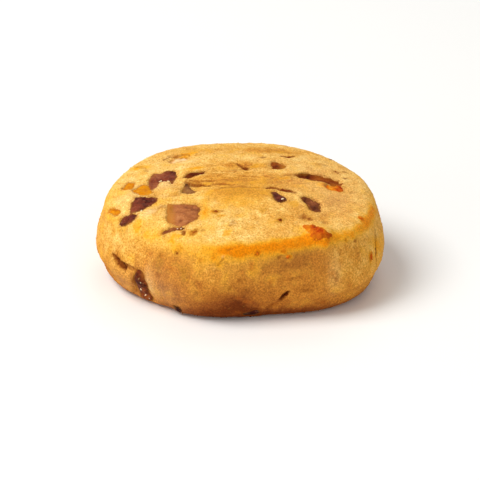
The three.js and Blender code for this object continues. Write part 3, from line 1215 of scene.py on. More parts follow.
DICE = [
    Dice(
        "chestnut_back_bar", Chestnut.SKINNED,
        (
            (-14.9, 3.9), (-13.8, 4.1), (-12.8, 4.4), (-11.7, 4.6), (-11, 4.2), (-11, 2.4),
            (-11.3, 0.3), (-11.6, -0.6), (-12, 0.6), (-12.9, 1.1), (-13.7, 1.1), (-14.6, 1.4),
        ),
        tone=0.37, lump_height=0.15,
        marks=(Mark((-11.6, 3.9, 16.4), 1.2, 0.3), Mark((-14.4, 3.4, 16), 1, -0.1)),
    ),
    Dice(
        "chestnut_back_leg", Chestnut.SKINNED,
        (
            (-15.1, 3.3), (-15.5, 1.9), (-15.8, 0.7), (-15.4, -0.9), (-15, -2.4), (-14.4, -2),
            (-14, -0.8), (-13.8, 1), (-14.1, 2.6),
        ),
        tone=0.24, lump_height=0.13, marks=(Mark((-14.7, -1.6, 15.9), 0.8, 0.35),),
    ),
    Dice(
        "chestnut_grey", Chestnut.DULL,
        (
            (-9.5, -1.2), (-9, -0.9), (-8.5, -2), (-8.2, -3.4), (-7.2, -4.5), (-7.8, -5.3),
            (-8.6, -5.5), (-9.3, -5.1), (-9.6, -4),
        ),
        tone=0.52, marks=(Mark((-9.1, -1.2, 16.6), 0.9, 0.35),),
    ),
    Dice(
        "chestnut_left_dark", Chestnut.SKINNED,
        (
            (-17.8, -4.6), (-16.8, -4.6), (-15.7, -5), (-14.9, -5), (-14.2, -5.6), (-14, -6.5),
            (-14.7, -7.1), (-15.4, -8), (-16.2, -8.8), (-17.3, -9.1), (-18.5, -8.9), (-18.5, -7.6),
            (-18.2, -6.3),
        ),
        level=0.02, tone=0.5, lump_height=0.14,
        marks=(Mark((-15.8, -6.2, 16), 1.3, 0.32), Mark((-17.6, -8, 15.6), 1.1, -0.16)),
    ),
    Dice(
        "chestnut_left_wedge", Chestnut.SKINNED,
        (
            (-20.4, -9.7), (-20.1, -9), (-19.6, -8.7), (-18.4, -9.1), (-17.1, -9.7), (-17.7, -10.2),
            (-18.4, -10.6), (-19.2, -10.9), (-20, -10.7),
        ),
        level=0.02, tone=0.62, marks=(Mark((-19.5, -10.2, 15), 0.8, 0.3),),
    ),
    Dice(
        "chestnut_large", Chestnut.COOKED,
        (
            (-12.2, -8.3), (-9.5, -8.7), (-7.3, -9.1), (-6.6, -9.5), (-6.8, -11.5), (-7.2, -13.2),
            (-8.1, -14.2), (-8.8, -14.9), (-9.9, -15.1), (-10.8, -14.6), (-11.8, -13.3), (-12.3, -12.3),
            (-12.2, -10.2),
        ),
        level=0.04, crown=0.08, tone=0.36, gold_to=(-1, 0), gold_from=0.9, lump_height=0.035,
        marks=(Mark((-6.9, -10.5, 16.5), 0.9, 0.32), Mark((-10.6, -12.6, 16), 1.6, -0.08)),
    ),
    Dice(
        "chestnut_front_flake", Chestnut.COOKED,
        (
            (-13.2, -14.9), (-12.4, -14.7), (-11.6, -14.7), (-10.6, -14.8), (-9.6, -15.1), (-9, -15.5),
            (-9.8, -15.8), (-11.1, -15.6), (-12.4, -15.4),
        ),
        level=0.02, tone=0.6, lump_height=0.16, lump_mm=0.6,
        marks=(Mark((-10.9, -15.1, 15.5), 0.6, -0.25), Mark((-9.5, -15.7, 15.2), 0.5, 0.35)),
    ),
    Dice(
        "chestnut_far_small", Chestnut.BUTTERED,
        ((5.3, 6.3), (5.7, 7.2), (6.5, 7.4), (7.4, 6.7), (8.2, 6), (7.7, 4.9), (6.6, 4.3), (5.6, 4.6)),
        tone=0.58, gold_to=(1, 0), gold_from=-0.3, marks=(Mark((6.3, 5.2, 16.9), 0.8, 0.3),),
    ),
    Dice(
        "chestnut_right_skin", Chestnut.SKINNED,
        (
            (5.3, -5.8), (6, -5.6), (6.7, -6.1), (7.4, -6.7), (7.9, -7.5), (7.8, -8.3), (7.1, -8.7),
            (6.4, -8.8), (5.8, -8), (5.5, -6.8),
        ),
        level=0.06, tone=0.54,
        marks=(Mark((5.9, -6.9, 17.1), 0.8, 0.25), Mark((7, -8.6, 16.8), 0.8, 0.2)),
    ),
    Dice(
        "chestnut_right_dice", Chestnut.COOKED,
        (
            (10.3, -6.5), (10.9, -5.9), (11.9, -6), (12.9, -6.5), (13.6, -7.3), (13.4, -8.6),
            (13.7, -10), (12.8, -10.2), (12, -9.5), (11.4, -8.2), (10.8, -7.6),
        ),
        tone=0.68, lump_height=0.13, marks=(Mark((12.6, -8.9, 16.3), 0.9, 0.28),),
    ),
    Dice(
        "chestnut_long_slab", Chestnut.BUTTERED,
        (
            (9.7, 2), (10.8, 3.1), (12.1, 3.3), (13.7, 2.9), (15.3, 2.5), (16.9, 1.9), (18.1, 0.6),
            (17.3, -0.6), (15.8, -0.6), (14.2, -0.1), (12.5, 0.4), (11.1, 1),
        ),
        level=0.03, tone=0.63, lump_height=0.1,
        marks=(
            Mark((11.8, 2.8, 16.6), 1.3, 0.3), Mark((13.6, 1.5, 16.4), 0.9, -0.2),
            Mark((16.4, 0.1, 16.1), 1, -0.2),
        ),
    ),
    Dice(
        "candied_large", Chestnut.CANDIED,
        (
            (-18.3, -1.7), (-17.5, -0.6), (-16.6, 0), (-15.8, -0.1), (-15.1, -2), (-14.8, -3.8),
            (-15.3, -4.3), (-16.6, -4.3), (-17.6, -3.2),
        ),
        level=0.06, tone=0.42,
    ),
    Dice(
        "candied_small", Chestnut.CANDIED,
        (
            (-20.2, -0.5), (-19.8, 0.9), (-19.2, 1.7), (-18.2, 1.4), (-18, -0.3), (-18.6, -1.2),
            (-19.5, -1.3),
        ),
        level=0.04, tone=0.62,
    ),
    Dice(
        "candied_edge", Chestnut.CANDIED,
        (
            (-22.5, -5.9), (-22.1, -5.2), (-21.1, -6.2), (-20.4, -6.9), (-20.2, -7.7), (-20.9, -7.9),
            (-21.8, -7.1),
        ),
        level=0.04, tone=0.62,
    ),
    Dice(
        "candied_pale", Chestnut.MEALY_AND_GLINT,
        ((-12.3, 10.6), (-11.4, 11.4), (-9.7, 11.6), (-9.3, 10.9), (-10.6, 10.3), (-11.7, 10.1)),
        level=-0.08, tone=0.74,
    ),
    Dice(
        "toasted_slab_end", Chestnut.TOASTED,
        (
            (14.3, -1.4), (15, -0.6), (16, -0.4), (17.2, -0.3), (18, -1), (18, -2.1), (17.1, -2.8),
            (16.1, -2.4), (15.1, -2.3),
        ),
        tone=0.4, rounding=8, lump_height=0.25, lump_mm=0.6,
        marks=(
            Mark((17.2, -0.9, 15.9), 0.8, 0.3), Mark((15.6, -1.7, 16.1), 0.6, -0.3),
            Mark((16.4, -2.1, 16), 0.5, 0.35),
        ),
    ),
    Dice(
        "toasted_edge_lump", Chestnut.TOASTED,
        (
            (11.1, -15.8, 15.8), (12.1, -15.6, 15.9), (12.9, -16.2, 15.6), (13.8, -16.7, 15.2),
            (15, -17, 14.6), (14.9, -17.6, 14), (13.3, -18, 14.2), (12.1, -17.8, 14.7),
            (11.3, -16.9, 15.3),
        ),
        level=0.28, rounding=6, tone=0.36, lump_height=0.26, lump_mm=0.7, rim_shade=0.04, rim_stain=0.1,
        marks=(
            Mark((12.4, -16.3, 15.8), 0.7, 0.5), Mark((13, -17.3, 14.8), 0.8, 0.65),
            Mark((14.3, -17.4, 14.4), 0.8, 0.8),
        ),
    ),
    Dice(
        "chestnut_in_crack", Chestnut.GLAZED,
        (
            (-17.2, -15.5, 7.5), (-16.6, -16, 7.3), (-16, -16.5, 6.4), (-15.8, -16.6, 5.3),
            (-15.6, -16.4, 4.4), (-15.5, -15.8, 3.2), (-15, -14.9, 1.9), (-14.7, -14.2, 0.8),
            (-15.2, -13.9, 0.3), (-16.1, -13.5, 0.4), (-16.6, -13.4, 1), (-17, -13.8, 2.2),
            (-17.8, -14.4, 3.8), (-18, -14.9, 5.4), (-17.7, -15.1, 6.7),
        ),
        level=0.1, rounding=12, crown=0.6, crown_width=0.7, tone=0.66, lump_height=0.12, lump_mm=1.2,
        # The gap round the chunk is painted dark with shade; its brown rim is partly stain and partly
        # painted shade inside the cleft.
        rim_shade=0.55, rim_stain=0.6,
        marks=(
            Mark((-15.4, -14.6, 1.3), 1, -0.5), Mark((-16.4, -16, 4.6), 0.9, 0.15),
            Mark((-17.2, -15.3, 6), 0.8, 0.2),
        ),
    ),
    Dice(
        "chestnut_base_front", Chestnut.SKINNED,
        (
            (0.3, -20.1, 1.7), (1.7, -19.6, 1.9), (3.2, -20.1, 2), (3.6, -19.8, 1.2), (2.2, -19.2, 0.5),
            (0.6, -19.9, 0.9),
        ),
        level=0.02, tone=0.85, rim_stain=0.6,
    ),
    Dice(
        "chestnut_base_left", Chestnut.SKINNED,
        (
            (-11.2, -18.7, 1.8), (-10.4, -18.9, 1.8), (-9.6, -18.7, 1.3), (-9.8, -18.1, 0.5),
            (-10.9, -17.9, 0.5),
        ),
        level=0.05, tone=0.95, rim_shade=0.3, rim_stain=0.12,
    ),
    Dice("chestnut_side_back", Chestnut.COOKED, level=0.02, tone=0.35),
    Dice("chestnut_side_far_left", Chestnut.SKINNED, level=0.02, tone=0.4),
    Dice("chestnut_side_far_right", Chestnut.SKINNED, tone=0.45),
    Dice("candied_side_back", Chestnut.CANDIED, level=0.02, tone=0.5),
    Dice("candied_side_left", Chestnut.CANDIED, tone=0.45),
    Dice("toasted_side_right", Chestnut.TOASTED, level=0.02, tone=0.35),
    Dice("chestnut_base_large", Chestnut.COOKED, level=-0.25, tone=0.4),
    Dice("chestnut_base_dark", Chestnut.SKINNED, level=-0.25, tone=0.45),
    Dice("candied_base", Chestnut.CANDIED, level=-0.25, tone=0.6),
    Dice(
        "sliver_in_slit", Chestnut.BUTTERED,
        (
            (-9.8, 1.1), (-9.2, 2.1), (-8.7, 3.1), (-7.2, 2.8), (-5.8, 2.8), (-6.1, 1.7), (-7.6, 1.2),
            (-8.6, 0.7),
        ),
        level=-0.02, tone=0.86, in_frame=False, rim_shade=0.25,
    ),
]

FURROWS = [
    # In each furrow the fourth number, dark, is its share of painted shade.
    # The slit beside the back pieces, and the drag line of the grey piece.
    Furrow(
        ((-9.8, 1.4, 16.5), (-8.9, 2.4, 16.7), (-7.3, 2.7, 16.7), (-5.6, 2.8, 16.8)),
        0.5, 0.3, 0.4, 0.7,
    ),
    Furrow(
        ((-9.3, -0.7, 16.5), (-8.2, -1.6, 16.6), (-6.8, -1.8, 16.7), (-5.8, -2.4, 16.8)),
        0.8, 0.25, 0.35, 0.85,
    ),
    Furrow(((-6, -2.6, 16.8), (-4.9, -2.6, 16.9)), 0.6, 0.25, 0.45, 0.8),
    Furrow(((-4.7, -2, 16.9), (-2.8, -2.2, 17), (-1, -2.5, 17)), 0.6, 0.1, 0.1, 0.5),
    Furrow(((-9, -0.1, 16.5), (-7.2, -0.7, 16.7), (-4.6, -0.9, 16.8)), 0.6, 0.1, 0, 0.6),
    # Shallow grooves that the knife left on the top face.
    Furrow(
        ((-14.5, -4.8, 16.2), (-12.5, -5.7, 16.4), (-10.3, -5.7, 16.5), (-9.4, -4.2, 16.5)),
        0.7, 0.22, 0.05, 0.18,
    ),
    Furrow(((-12.4, -7.3, 16.3), (-10.3, -7.5, 16.4), (-8.4, -7.2, 16.6)), 0.55, 0.2, 0.05, 0.15),
    # The arc round the pale piece at the back left and the one on the rim beside it.
    Furrow(
        ((-13.4, 10.9, 15.4), (-12.3, 12.2, 15.5), (-11.2, 12, 15.6), (-9.6, 12.4, 15.8), (-8.8, 11.5, 16)),
        0.6, 0.18, 0, 0.55,
    ),
    Furrow(
        ((-18.2, 8.3, 15.2), (-17.3, 8.1, 15.3), (-16.5, 7.1, 15.5), (-16, 5.7, 15.7)),
        0.45, 0.1, 0, 0.35,
    ),
    # The long slab's upper edge.
    Furrow(((8.4, 1.7, 16.8), (9.6, 2.2, 16.6), (10.8, 2.8, 16.4)), 0.5, 0.12, 0.05, 0.5),
    # Short slits and creases in the middle and on the right of the top face.
    Furrow(((-0.5, 6, 17), (0.1, 5.1, 17), (0.8, 4.1, 17)), 0.5, 0.25, 0.45, 0.9),
    Furrow(((0.4, 4.5, 17), (1.4, 3.5, 17.1)), 0.8, 0.35, 0.7, 1),
    Furrow(((4.7, -4.6, 17.2), (5.5, -4.1, 17.1), (6.5, -4.2, 17)), 1, 0.2, 0.1, 0.9),
    Furrow(((6.6, -4.5, 17), (7.9, -4.7, 16.9), (9.4, -5, 16.8)), 1, 0.2, 0.1, 0.9),
    Furrow(((7.4, 10.4, 16.3), (8.5, 10.1, 16.2), (9.6, 11, 16)), 0.5, 0.15, 0.25, 0.85),
    Furrow(((16.3, 6, 15.7), (16.9, 5.3, 15.7), (17.4, 4.5, 15.6)), 0.45, 0.12, 0.2, 0.6),
    Furrow(((18.6, -3, 15.7), (19.4, -2.6, 15.5), (20, -2.4, 15.2)), 0.6, 0.15, 0.1, 0.35),
    Furrow(((-3, -4.1, 17.1), (0.1, -3.9, 17.2), (3.1, -4.4, 17.2)), 1.1, 0.13, 0.02, 0.42),
    # The crack on the left side in two strands, and the left edge of its chunk, each darkened with painted
    # shade.
    Furrow(((-21.4, -11, 8), (-20.6, -12, 7.6), (-19.9, -12.8, 7.3)), 0.6, 0.4, 0.5, 0.9),
    Furrow(
        ((-19.9, -12.8, 7.3), (-19.1, -13.6, 7.2), (-18.4, -14.3, 7.2), (-17.4, -15.3, 7.1)),
        0.5, 0.35, 0.3, 0.8,
    ),
    Furrow(((-20.5, -12.2, 7.1), (-19.7, -13, 6.8), (-19, -13.7, 6.6)), 0.42, 0.3, 0.55, 0.9),
    Furrow(
        ((-17.7, -15.2, 6.6), (-17.7, -15, 4.9), (-17.5, -14.4, 3.2), (-17.3, -13.4, 1.6)),
        0.5, 0.5, 0.5, 0.8,
    ),
    # Its deepest places, with the darkest painted shade.
    Furrow(((-20.7, -11.8, 7.7), (-20.5, -12.1, 7.5)), 0.45, 0.3, 0.8, 0.9),
    Furrow(((-19.8, -12.9, 7.3), (-19.5, -13.2, 7.2)), 0.4, 0.3, 0.8, 0.9),
    Furrow(((-19.3, -13.4, 6.8), (-19.1, -13.7, 6.6)), 0.35, 0.3, 0.8, 0.9),
    # The dark speck under the rim.
    Furrow(((-10.5, -18.5, 12.2), (-10.3, -18.6, 12)), 0.45, 0.2, 0.45, 0.9),
    # Short slits on the front.
    Furrow(((8, -20.5, 5.8), (7.4, -20.4, 5.1), (6.7, -20.2, 4.1)), 0.6, 0.55, 0.8, 0.9),
    Furrow(((6.5, -20.1, 3.8), (5.8, -19.9, 3.2), (4.6, -19.8, 2.5)), 0.5, 0.2, 0.15, 0.45),
    Furrow(((-2.3, -20.6, 12.4), (-3, -20.8, 11.8), (-3.6, -21, 11)), 0.28, 0.12, 0.15, 0.5),
    # The crease at the right-hand end.
    Furrow(
        ((23.1, -9, 11.6), (22.9, -10.7, 10), (23, -11.6, 8.2), (23.2, -11.7, 6.1)),
        0.5, 0.35, 0.4, 0.35,
    ),
    # Faint creases on the front, and a nick in its top edge.
    Furrow(((9.8, -20.3, 6), (10.9, -20, 5.8), (12.1, -19.8, 5.7)), 0.6, 0.1, 0, 0.4),
    Furrow(((6.4, -20.6, 8.2), (8.6, -20.3, 8.2), (10.4, -20, 8.4)), 0.5, 0.1, 0, 0.3),
    Furrow(((-9.4, -16.3, 14.9), (-9.1, -16.8, 14.5)), 0.6, 0.3, 0.4, 0.8),
]

DENTS = [
    # The swell and the hollow between the pieces on the left, and the oval hollow at the back left.
    Dent((-13, -1.1, 16.2), (1.4, 1.7, 3), 0.5),
    Dent((-13.4, 2.8, 16), (3, 2.6, 3), -0.3),
    Dent((-11, 11.1, 15.6), (2.4, 1.1, 3), -0.25),
    # Under the crack: a swell, the chunk's bed, and the notch beside it with its lip.
    Dent((-20.8, -12.6, 5.4), (2.6, 2.2, 3.2), 0.45),
    Dent((-16.2, -16, 5), (1.5, 1.5, 4.4), -0.3),
    Dent((-17.8, -13.1, 2.2), (0.5, 0.8, 1.1), -1.6),
    Dent((-18.5, -13.6, 3.6), (0.9, 1.1, 2.4), 0.35),
    # Long low ridges on the top face.
    Dent((14, -1, 16.2), (4.5, 0.8, 3), 0.2),
    Dent((-5.8, 0.6, 16.9), (4.5, 1, 3), 0.18),
    Dent((-8, 4.3, 16.8), (3.5, 0.8, 3), 0.15),
    Dent((0, -4.9, 17.2), (7, 0.9, 3), 0.16),
    # The foot drawn in at the front left, two upright folds over it, and a line on the right.
    Dent((-16.7, -17.5, 2), (3.5, 3.5, 1.8), -0.25),
    Dent((-12.8, -17.9, 0.9), (2.2, 2.2, 1.4), -0.5),
    Dent((-13.2, -17.6, 3.6), (0.5, 1.6, 3.4), -0.22),
    Dent((-10.2, -19.8, 4.6), (0.5, 1.6, 3.4), -0.18),
    Dent((7.5, -20.4, 7), (9, 2, 0.5), -0.12),
]

PATCHES = [
    # The golden crest across the middle of the top face, and what lies behind it.
    Patch((-0.4, -6.2, 17), (4.8, 1.9, 4), bake=0.58, butter=0.36, streak=0.5),
    Patch((0, -9.2, 17), (4, 1.6, 4), bake=0.1, butter=0.35),
    Patch((0, -4.6, 17.2), (3, 0.6, 3), bake=0.36, butter=0.3),
    Patch((0.5, -1.2, 17), (8.5, 2.4, 4), bake=0.4, butter=0.15, streak=0.85),
    Patch((-2.5, 2.2, 17), (6, 2.4, 4), bake=0.12, streak=0.6),
    Patch((0, 5.2, 17), (4.6, 1.5, 3), bake=0.32, streak=0.3),
    Patch((8, 1, 17), (4, 2, 4), bake=0.08, streak=0.6),
    Patch((2, 13.5, 16), (12, 2.4, 4), bake=0.2),
    # The right of the top face is baked a little darker, partly as painted shade where the light from the
    # left falls weaker.
    Patch((14, 3, 16), (8, 9, 4), bake=0.07, cream=0.1),
    Patch((16, -6.5, 16), (5, 5.5, 4), bake=0.24, cream=0.12),
    Patch((9, -12.5, 16), (5, 3, 4), bake=0.12),
    Patch((2, -13, 16), (9, 4, 4), bake=0.05),
    # Paler places between the pieces on the left.
    Patch((-13, -1.2, 16.3), (1.7, 1.9, 3), bake=-0.06, cream=0.3),
    Patch((-16.8, 3.2, 15.7), (3.4, 2.4, 3), bake=-0.04),
    Patch((-19.2, -4, 15.2), (2, 2, 3), bake=-0.04, cream=0.15),
    Patch((-7.2, -6.6, 16.6), (3.2, 1.2, 3), bake=-0.1),
    Patch((-15.1, -9.9, 15.4), (1.2, 1, 3), cream=0.4, crisp=0.6),
    Patch((-9.6, 8.6, 16), (3, 1.4, 3), cream=0.25, crisp=0.6),
    # Golden spots, where candied bits dissolved into the dough.
    Patch((-9.3, 12.4, 15.9), (1.9, 1.1, 3), bake=0.1, butter=0.7, crisp=0.5),
    Patch((-17.2, 8, 15.2), (1.7, 0.8, 3), bake=0.08, butter=0.5),
    Patch((-7.5, 4.2, 16.8), (2.2, 0.9, 3), bake=0.22, butter=0.6, crisp=0.5),
    Patch((3.5, 5.3, 17), (1.4, 1.1, 3), bake=0.1, butter=0.35, crisp=0.4),
    Patch((2.5, 4.8, 17), (0.9, 0.8, 3), butter=0.5, stain=0.2, crisp=0.3),
    Patch((7.3, 0.4, 16.8), (1.3, 0.6, 3), butter=0.5, stain=0.2, crisp=0.25),
    Patch((11.9, -0.5, 16.5), (1.2, 0.6, 3), butter=0.4, crisp=0.3),
    Patch((14.1, -1.4, 16.2), (0.9, 0.7, 3), butter=0.6, crisp=0.3),
    Patch((16.5, -1.6, 16), (2, 1.6, 3), butter=0.3),
    Patch((4.4, -6.4, 17.3), (1.3, 1.1, 3), butter=0.3, stain=0.16),
    Patch((9.3, -8.5, 16.4), (1, 1.5, 3), butter=0.45, stain=0.1, crisp=0.3),
    Patch((3.7, -11.3, 16.4), (0.9, 0.8, 3), butter=0.4, stain=0.3, crisp=0.3),
    Patch((-2.2, -17.6, 15.3), (1, 0.9, 1.8), butter=0.6, crisp=0.4),
    Patch((-4.6, -16.2, 15.5), (1.6, 1.4, 2), butter=0.35),
    Patch((-6, -10.8, 16.4), (1, 2.6, 3), butter=0.5, stain=0.12),
    Patch((-5.6, -13.2, 16.2), (1.4, 1.4, 3), butter=0.3),
    Patch((-17.1, -11.7, 13.7), (1.1, 1, 1.6), butter=0.45, crisp=0.25),
    Patch((-10.5, -16.6, 14.4), (1.3, 0.9, 1.4), butter=0.55, crisp=0.4),
    Patch((-15.6, -13.6, 14), (2.4, 1.8, 2), butter=0.08),
    Patch((-21.4, -2, 14.6), (1.6, 4, 2), bake=0.04, butter=0.12),
    Patch((7.2, 13.2, 16), (3.8, 0.9, 3), bake=0.3, butter=0.2),
    # The crumbly golden place on the rim beside the toasted lump.
    Patch((10.4, -16.4, 15.3), (2, 1.4, 1.4), butter=0.55, crisp=0.7),
    Patch((12.8, -16.8, 15.3), (2, 1.4, 1.4), butter=0.7, stain=0.08, crisp=0.7),
    # Brown marks of chestnut in the surface.
    Patch((-13.2, -8.9, 15.9), (0.9, 1.1, 3), stain=0.5, crisp=0.35),
    Patch((-14.2, -9.8, 15.7), (1.3, 1.4, 3), stain=0.22, crisp=0.5),
    Patch((-12.9, -11, 15.7), (1.2, 1.3, 3), stain=0.16, crisp=0.5),
    Patch((-4, -11.8, 16.5), (0.8, 0.7, 3), stain=0.55, butter=0.5, crisp=0.25),
    Patch((-3, -11.7, 16.5), (0.8, 0.35, 3), stain=0.45, butter=0.2, crisp=0.25),
    Patch((-2.9, -13.2, 16.4), (0.8, 0.6, 3), stain=0.25, butter=0.5, crisp=0.25),
    Patch((-1.3, -15.3, 15.9), (0.5, 0.6, 2), stain=0.4, crisp=0.25),
    Patch((-7.6, -16.9, 15.1), (0.9, 0.7, 1.2), stain=0.65, butter=0.3, crisp=0.2),
    Patch((-6.2, -16.8, 15.4), (0.6, 0.4, 1), stain=0.4, crisp=0.2),
    Patch((-0.8, 2.7, 17.1), (1.4, 0.6, 3), stain=0.45, crisp=0.3),
    Patch((3.9, 9, 16.7), (0.5, 0.6, 3), stain=0.6, crisp=0.2),
    Patch((8.7, 1.5, 16.8), (1.4, 0.8, 3), stain=0.4, crisp=0.4),
    Patch((14.2, 7.7, 15.8), (1.5, 0.8, 3), stain=0.35, crisp=0.35),
    Patch((18.2, 3.1, 15.5), (0.5, 0.6, 2), stain=0.85, crisp=0.2),
    Patch((18.3, 5.9, 15.3), (0.5, 0.5, 2), stain=0.5, crisp=0.2),
    Patch((10.6, -12.4, 15.8), (0.7, 1.2, 3), stain=0.6, crisp=0.25),
    Patch((11.8, -13, 15.6), (0.35, 0.6, 2), stain=0.8, crisp=0.2),
    Patch((6.7, -14, 15.8), (1, 0.9, 2), stain=0.45, butter=0.45, crisp=0.25),
    Patch((14, -13.8, 15.3), (0.5, 0.7, 2), stain=0.35, crisp=0.25),
    Patch((13.6, -10.9, 15.9), (1.8, 1.3, 3), stain=0.16, crisp=0.5),
    Patch((15.6, -6.6, 15.8), (3, 2.6, 3), stain=0.12, crisp=0.5),
    Patch((20.3, -10.8, 14.6), (0.6, 0.6, 0.8), stain=0.3, butter=0.5, crisp=0.4),
    # The side, from left to right.
    Patch((-21.4, -9.6, 10.5), (2.2, 3, 2.4), bake=-0.1),
    Patch((-20.8, -11.8, 7.9), (1.4, 1.4, 1.1), bake=0.08, stain=0.5),
    # Painted highlight: a small cream spot on the lip below the crack.
    Patch((-19.4, -13.3, 7), (0.4, 0.4, 0.2), cream=0.6, crisp=0.6),
    # Painted shadow: dark brown stain in the cleft to the left of the chunk.
    Patch((-17.6, -15.4, 5.4), (0.8, 0.9, 2.2), stain=0.8),
    Patch((-15, -16.8, 5.4), (0.9, 0.9, 3), bake=-0.1, cream=0.2),
    Patch((-13.6, -17.4, 9), (3.4, 2.4, 3), bake=0.16),
    Patch((-11.4, -18.6, 6.4), (3.6, 3, 2.6), bake=0.08, stain=0.1),
    Patch((-10.4, -19, 10.4), (2.6, 2.4, 1.8), bake=0.12),
    # Painted light: the low left end is baked paler to lift the shade near its foot.
    Patch((-16.4, -14.6, 1.6), (3.4, 3, 2.4), bake=-0.16),
    Patch((-20, -12, 3), (3, 3, 2.6), bake=0.05, stain=0.1, cream=0.12),
    Patch((-13.5, -17, 4.5), (5, 5, 3.6), bake=0.03, cream=0.14),
    Patch((-13.5, -18.2, 7.7), (0.9, 0.9, 0.5), stain=0.3, crisp=0.4),
    Patch((-12.8, -18.7, 5), (0.5, 1, 2.4), bake=0.07),
    Patch((-14.1, -17.9, 5.6), (0.5, 1, 2.4), bake=-0.07),
    Patch((-11.5, -19.4, 5.2), (0.5, 1, 2.4), bake=-0.06),
    Patch((-10.3, -20.1, 5), (0.6, 1, 2.6), bake=0.09),
    Patch((-10.4, -18.6, 12.2), (0.6, 0.6, 0.6), stain=0.5, crisp=0.3),
    Patch((-10.2, -18.6, 12.7), (0.8, 0.8, 0.6), stain=0.25, butter=0.3),
    Patch((-13.5, -17.5, 9.9), (1.3, 1.3, 1.7), bake=0.32, butter=0.3, stain=0.14, crisp=0.7),
    Patch((-10.5, -19.3, 10.2), (0.9, 0.9, 0.6), bake=0.14, butter=0.2, crisp=0.4),
    Patch((-9.1, -20.4, 9.4), (1.4, 1.4, 1.9), bake=0.3, butter=0.3, stain=0.14, crisp=0.7),
    Patch((-6.9, -21.4, 7.7), (0.8, 0.9, 0.9), bake=0.14, stain=0.2, crisp=0.4),
    Patch((-2.8, -21.4, 3.4), (5, 4, 3.2), bake=0.17, stain=0.18),
    Patch((-3, -20.6, 1.2), (8, 3, 1.6), bake=0.2, stain=0.15),
    Patch((8, -19.6, 1), (7, 3, 1), bake=0.14, stain=0.15),
    Patch((8.6, -19.3, 11), (6.5, 3, 2.6), bake=0.26),
    Patch((15.4, -17.8, 2.8), (4.6, 3, 1.4), bake=0.04, stain=0.05),
    Patch((-0.2, -21.2, 1.8), (2.6, 3, 2.2), bake=0.16, stain=0.15),
    Patch((0.2, -20.9, 3.4), (1.8, 2, 2.8), bake=0.12, stain=0.15),
    Patch((-0.7, -21.2, 3.6), (1.6, 2, 2.2), bake=0.08, stain=0.15),
    Patch((9, -19.5, 13.4), (4.5, 2, 1.8), stain=0.16),
    Patch((8.5, -18.6, 13.9), (5, 2.4, 1.4), bake=0.14),
    Patch((17, -17, 7), (4, 3, 5), bake=-0.09, butter=0.1, stain=0.07),
    # Painted light: the right-hand end is baked paler where the lamps leave it dim; its butter and stain
    # are colour.
    Patch((22.6, -9, 8), (3, 5, 5), bake=-0.22, butter=0.4, stain=0.14),
    Patch((19.3, -14.9, 12.6), (0.4, 0.4, 0.35), stain=0.8, crisp=0.2),
    Patch((-4.1, -21.2, 10.4), (0.6, 0.6, 0.4), stain=0.5, crisp=0.25),
    Patch((-3.6, -21, 11.2), (0.5, 0.5, 0.5), stain=0.3, butter=0.2, crisp=0.25),
    Patch((-2.6, -20.6, 12.8), (0.35, 0.4, 0.35), cream=0.25, crisp=0.4),
    Patch((-1.3, -20.1, 13.8), (0.5, 0.5, 0.25), stain=0.45, crisp=0.25),
    Patch((0, -19.6, 14.2), (0.4, 0.4, 0.25), stain=0.45, crisp=0.25),
    Patch((3, -19.9, 12.8), (0.45, 0.5, 0.45), stain=0.75, crisp=0.2),
    Patch((6.3, -19.8, 11.7), (0.45, 0.5, 0.5), stain=0.6, crisp=0.2),
    Patch((8.1, -19.5, 11.9), (0.55, 0.5, 0.7), stain=0.6, butter=0.4, crisp=0.25),
    Patch((7.5, -19.4, 12.8), (0.8, 0.7, 0.5), stain=0.35, butter=0.5, crisp=0.35),
    Patch((0.5, -21.3, 8.7), (0.7, 0.6, 0.4), stain=0.5, crisp=0.25),
    Patch((-1.8, -21.8, 7), (0.35, 0.5, 0.35), stain=0.5, crisp=0.25),
    Patch((0.5, -21.5, 6.3), (0.4, 0.5, 0.35), stain=0.4, crisp=0.25),
    Patch((11.2, -20.1, 6.4), (1.7, 1, 0.6), stain=0.3, crisp=0.4),
    Patch((15.8, -18.5, 8.2), (1.3, 1.4, 3.6), bake=-0.12, cream=0.12),
    Patch((16, -18.6, 7.4), (0.5, 0.8, 1.2), stain=0.55, crisp=0.4),
    Patch((17.5, -16.2, 13.2), (0.3, 0.4, 0.6), stain=0.5, butter=0.3, crisp=0.25),
    Patch((19.2, -15.3, 11.6), (0.3, 0.4, 0.35), stain=0.7, crisp=0.25),
    Patch((22.1, -13.2, 8.6), (0.6, 0.7, 1.1), stain=0.5, butter=0.6, crisp=0.3),
    Patch((21.4, -12.6, 8), (3, 3, 4), bake=-0.03),
]


# ---- The dough ----


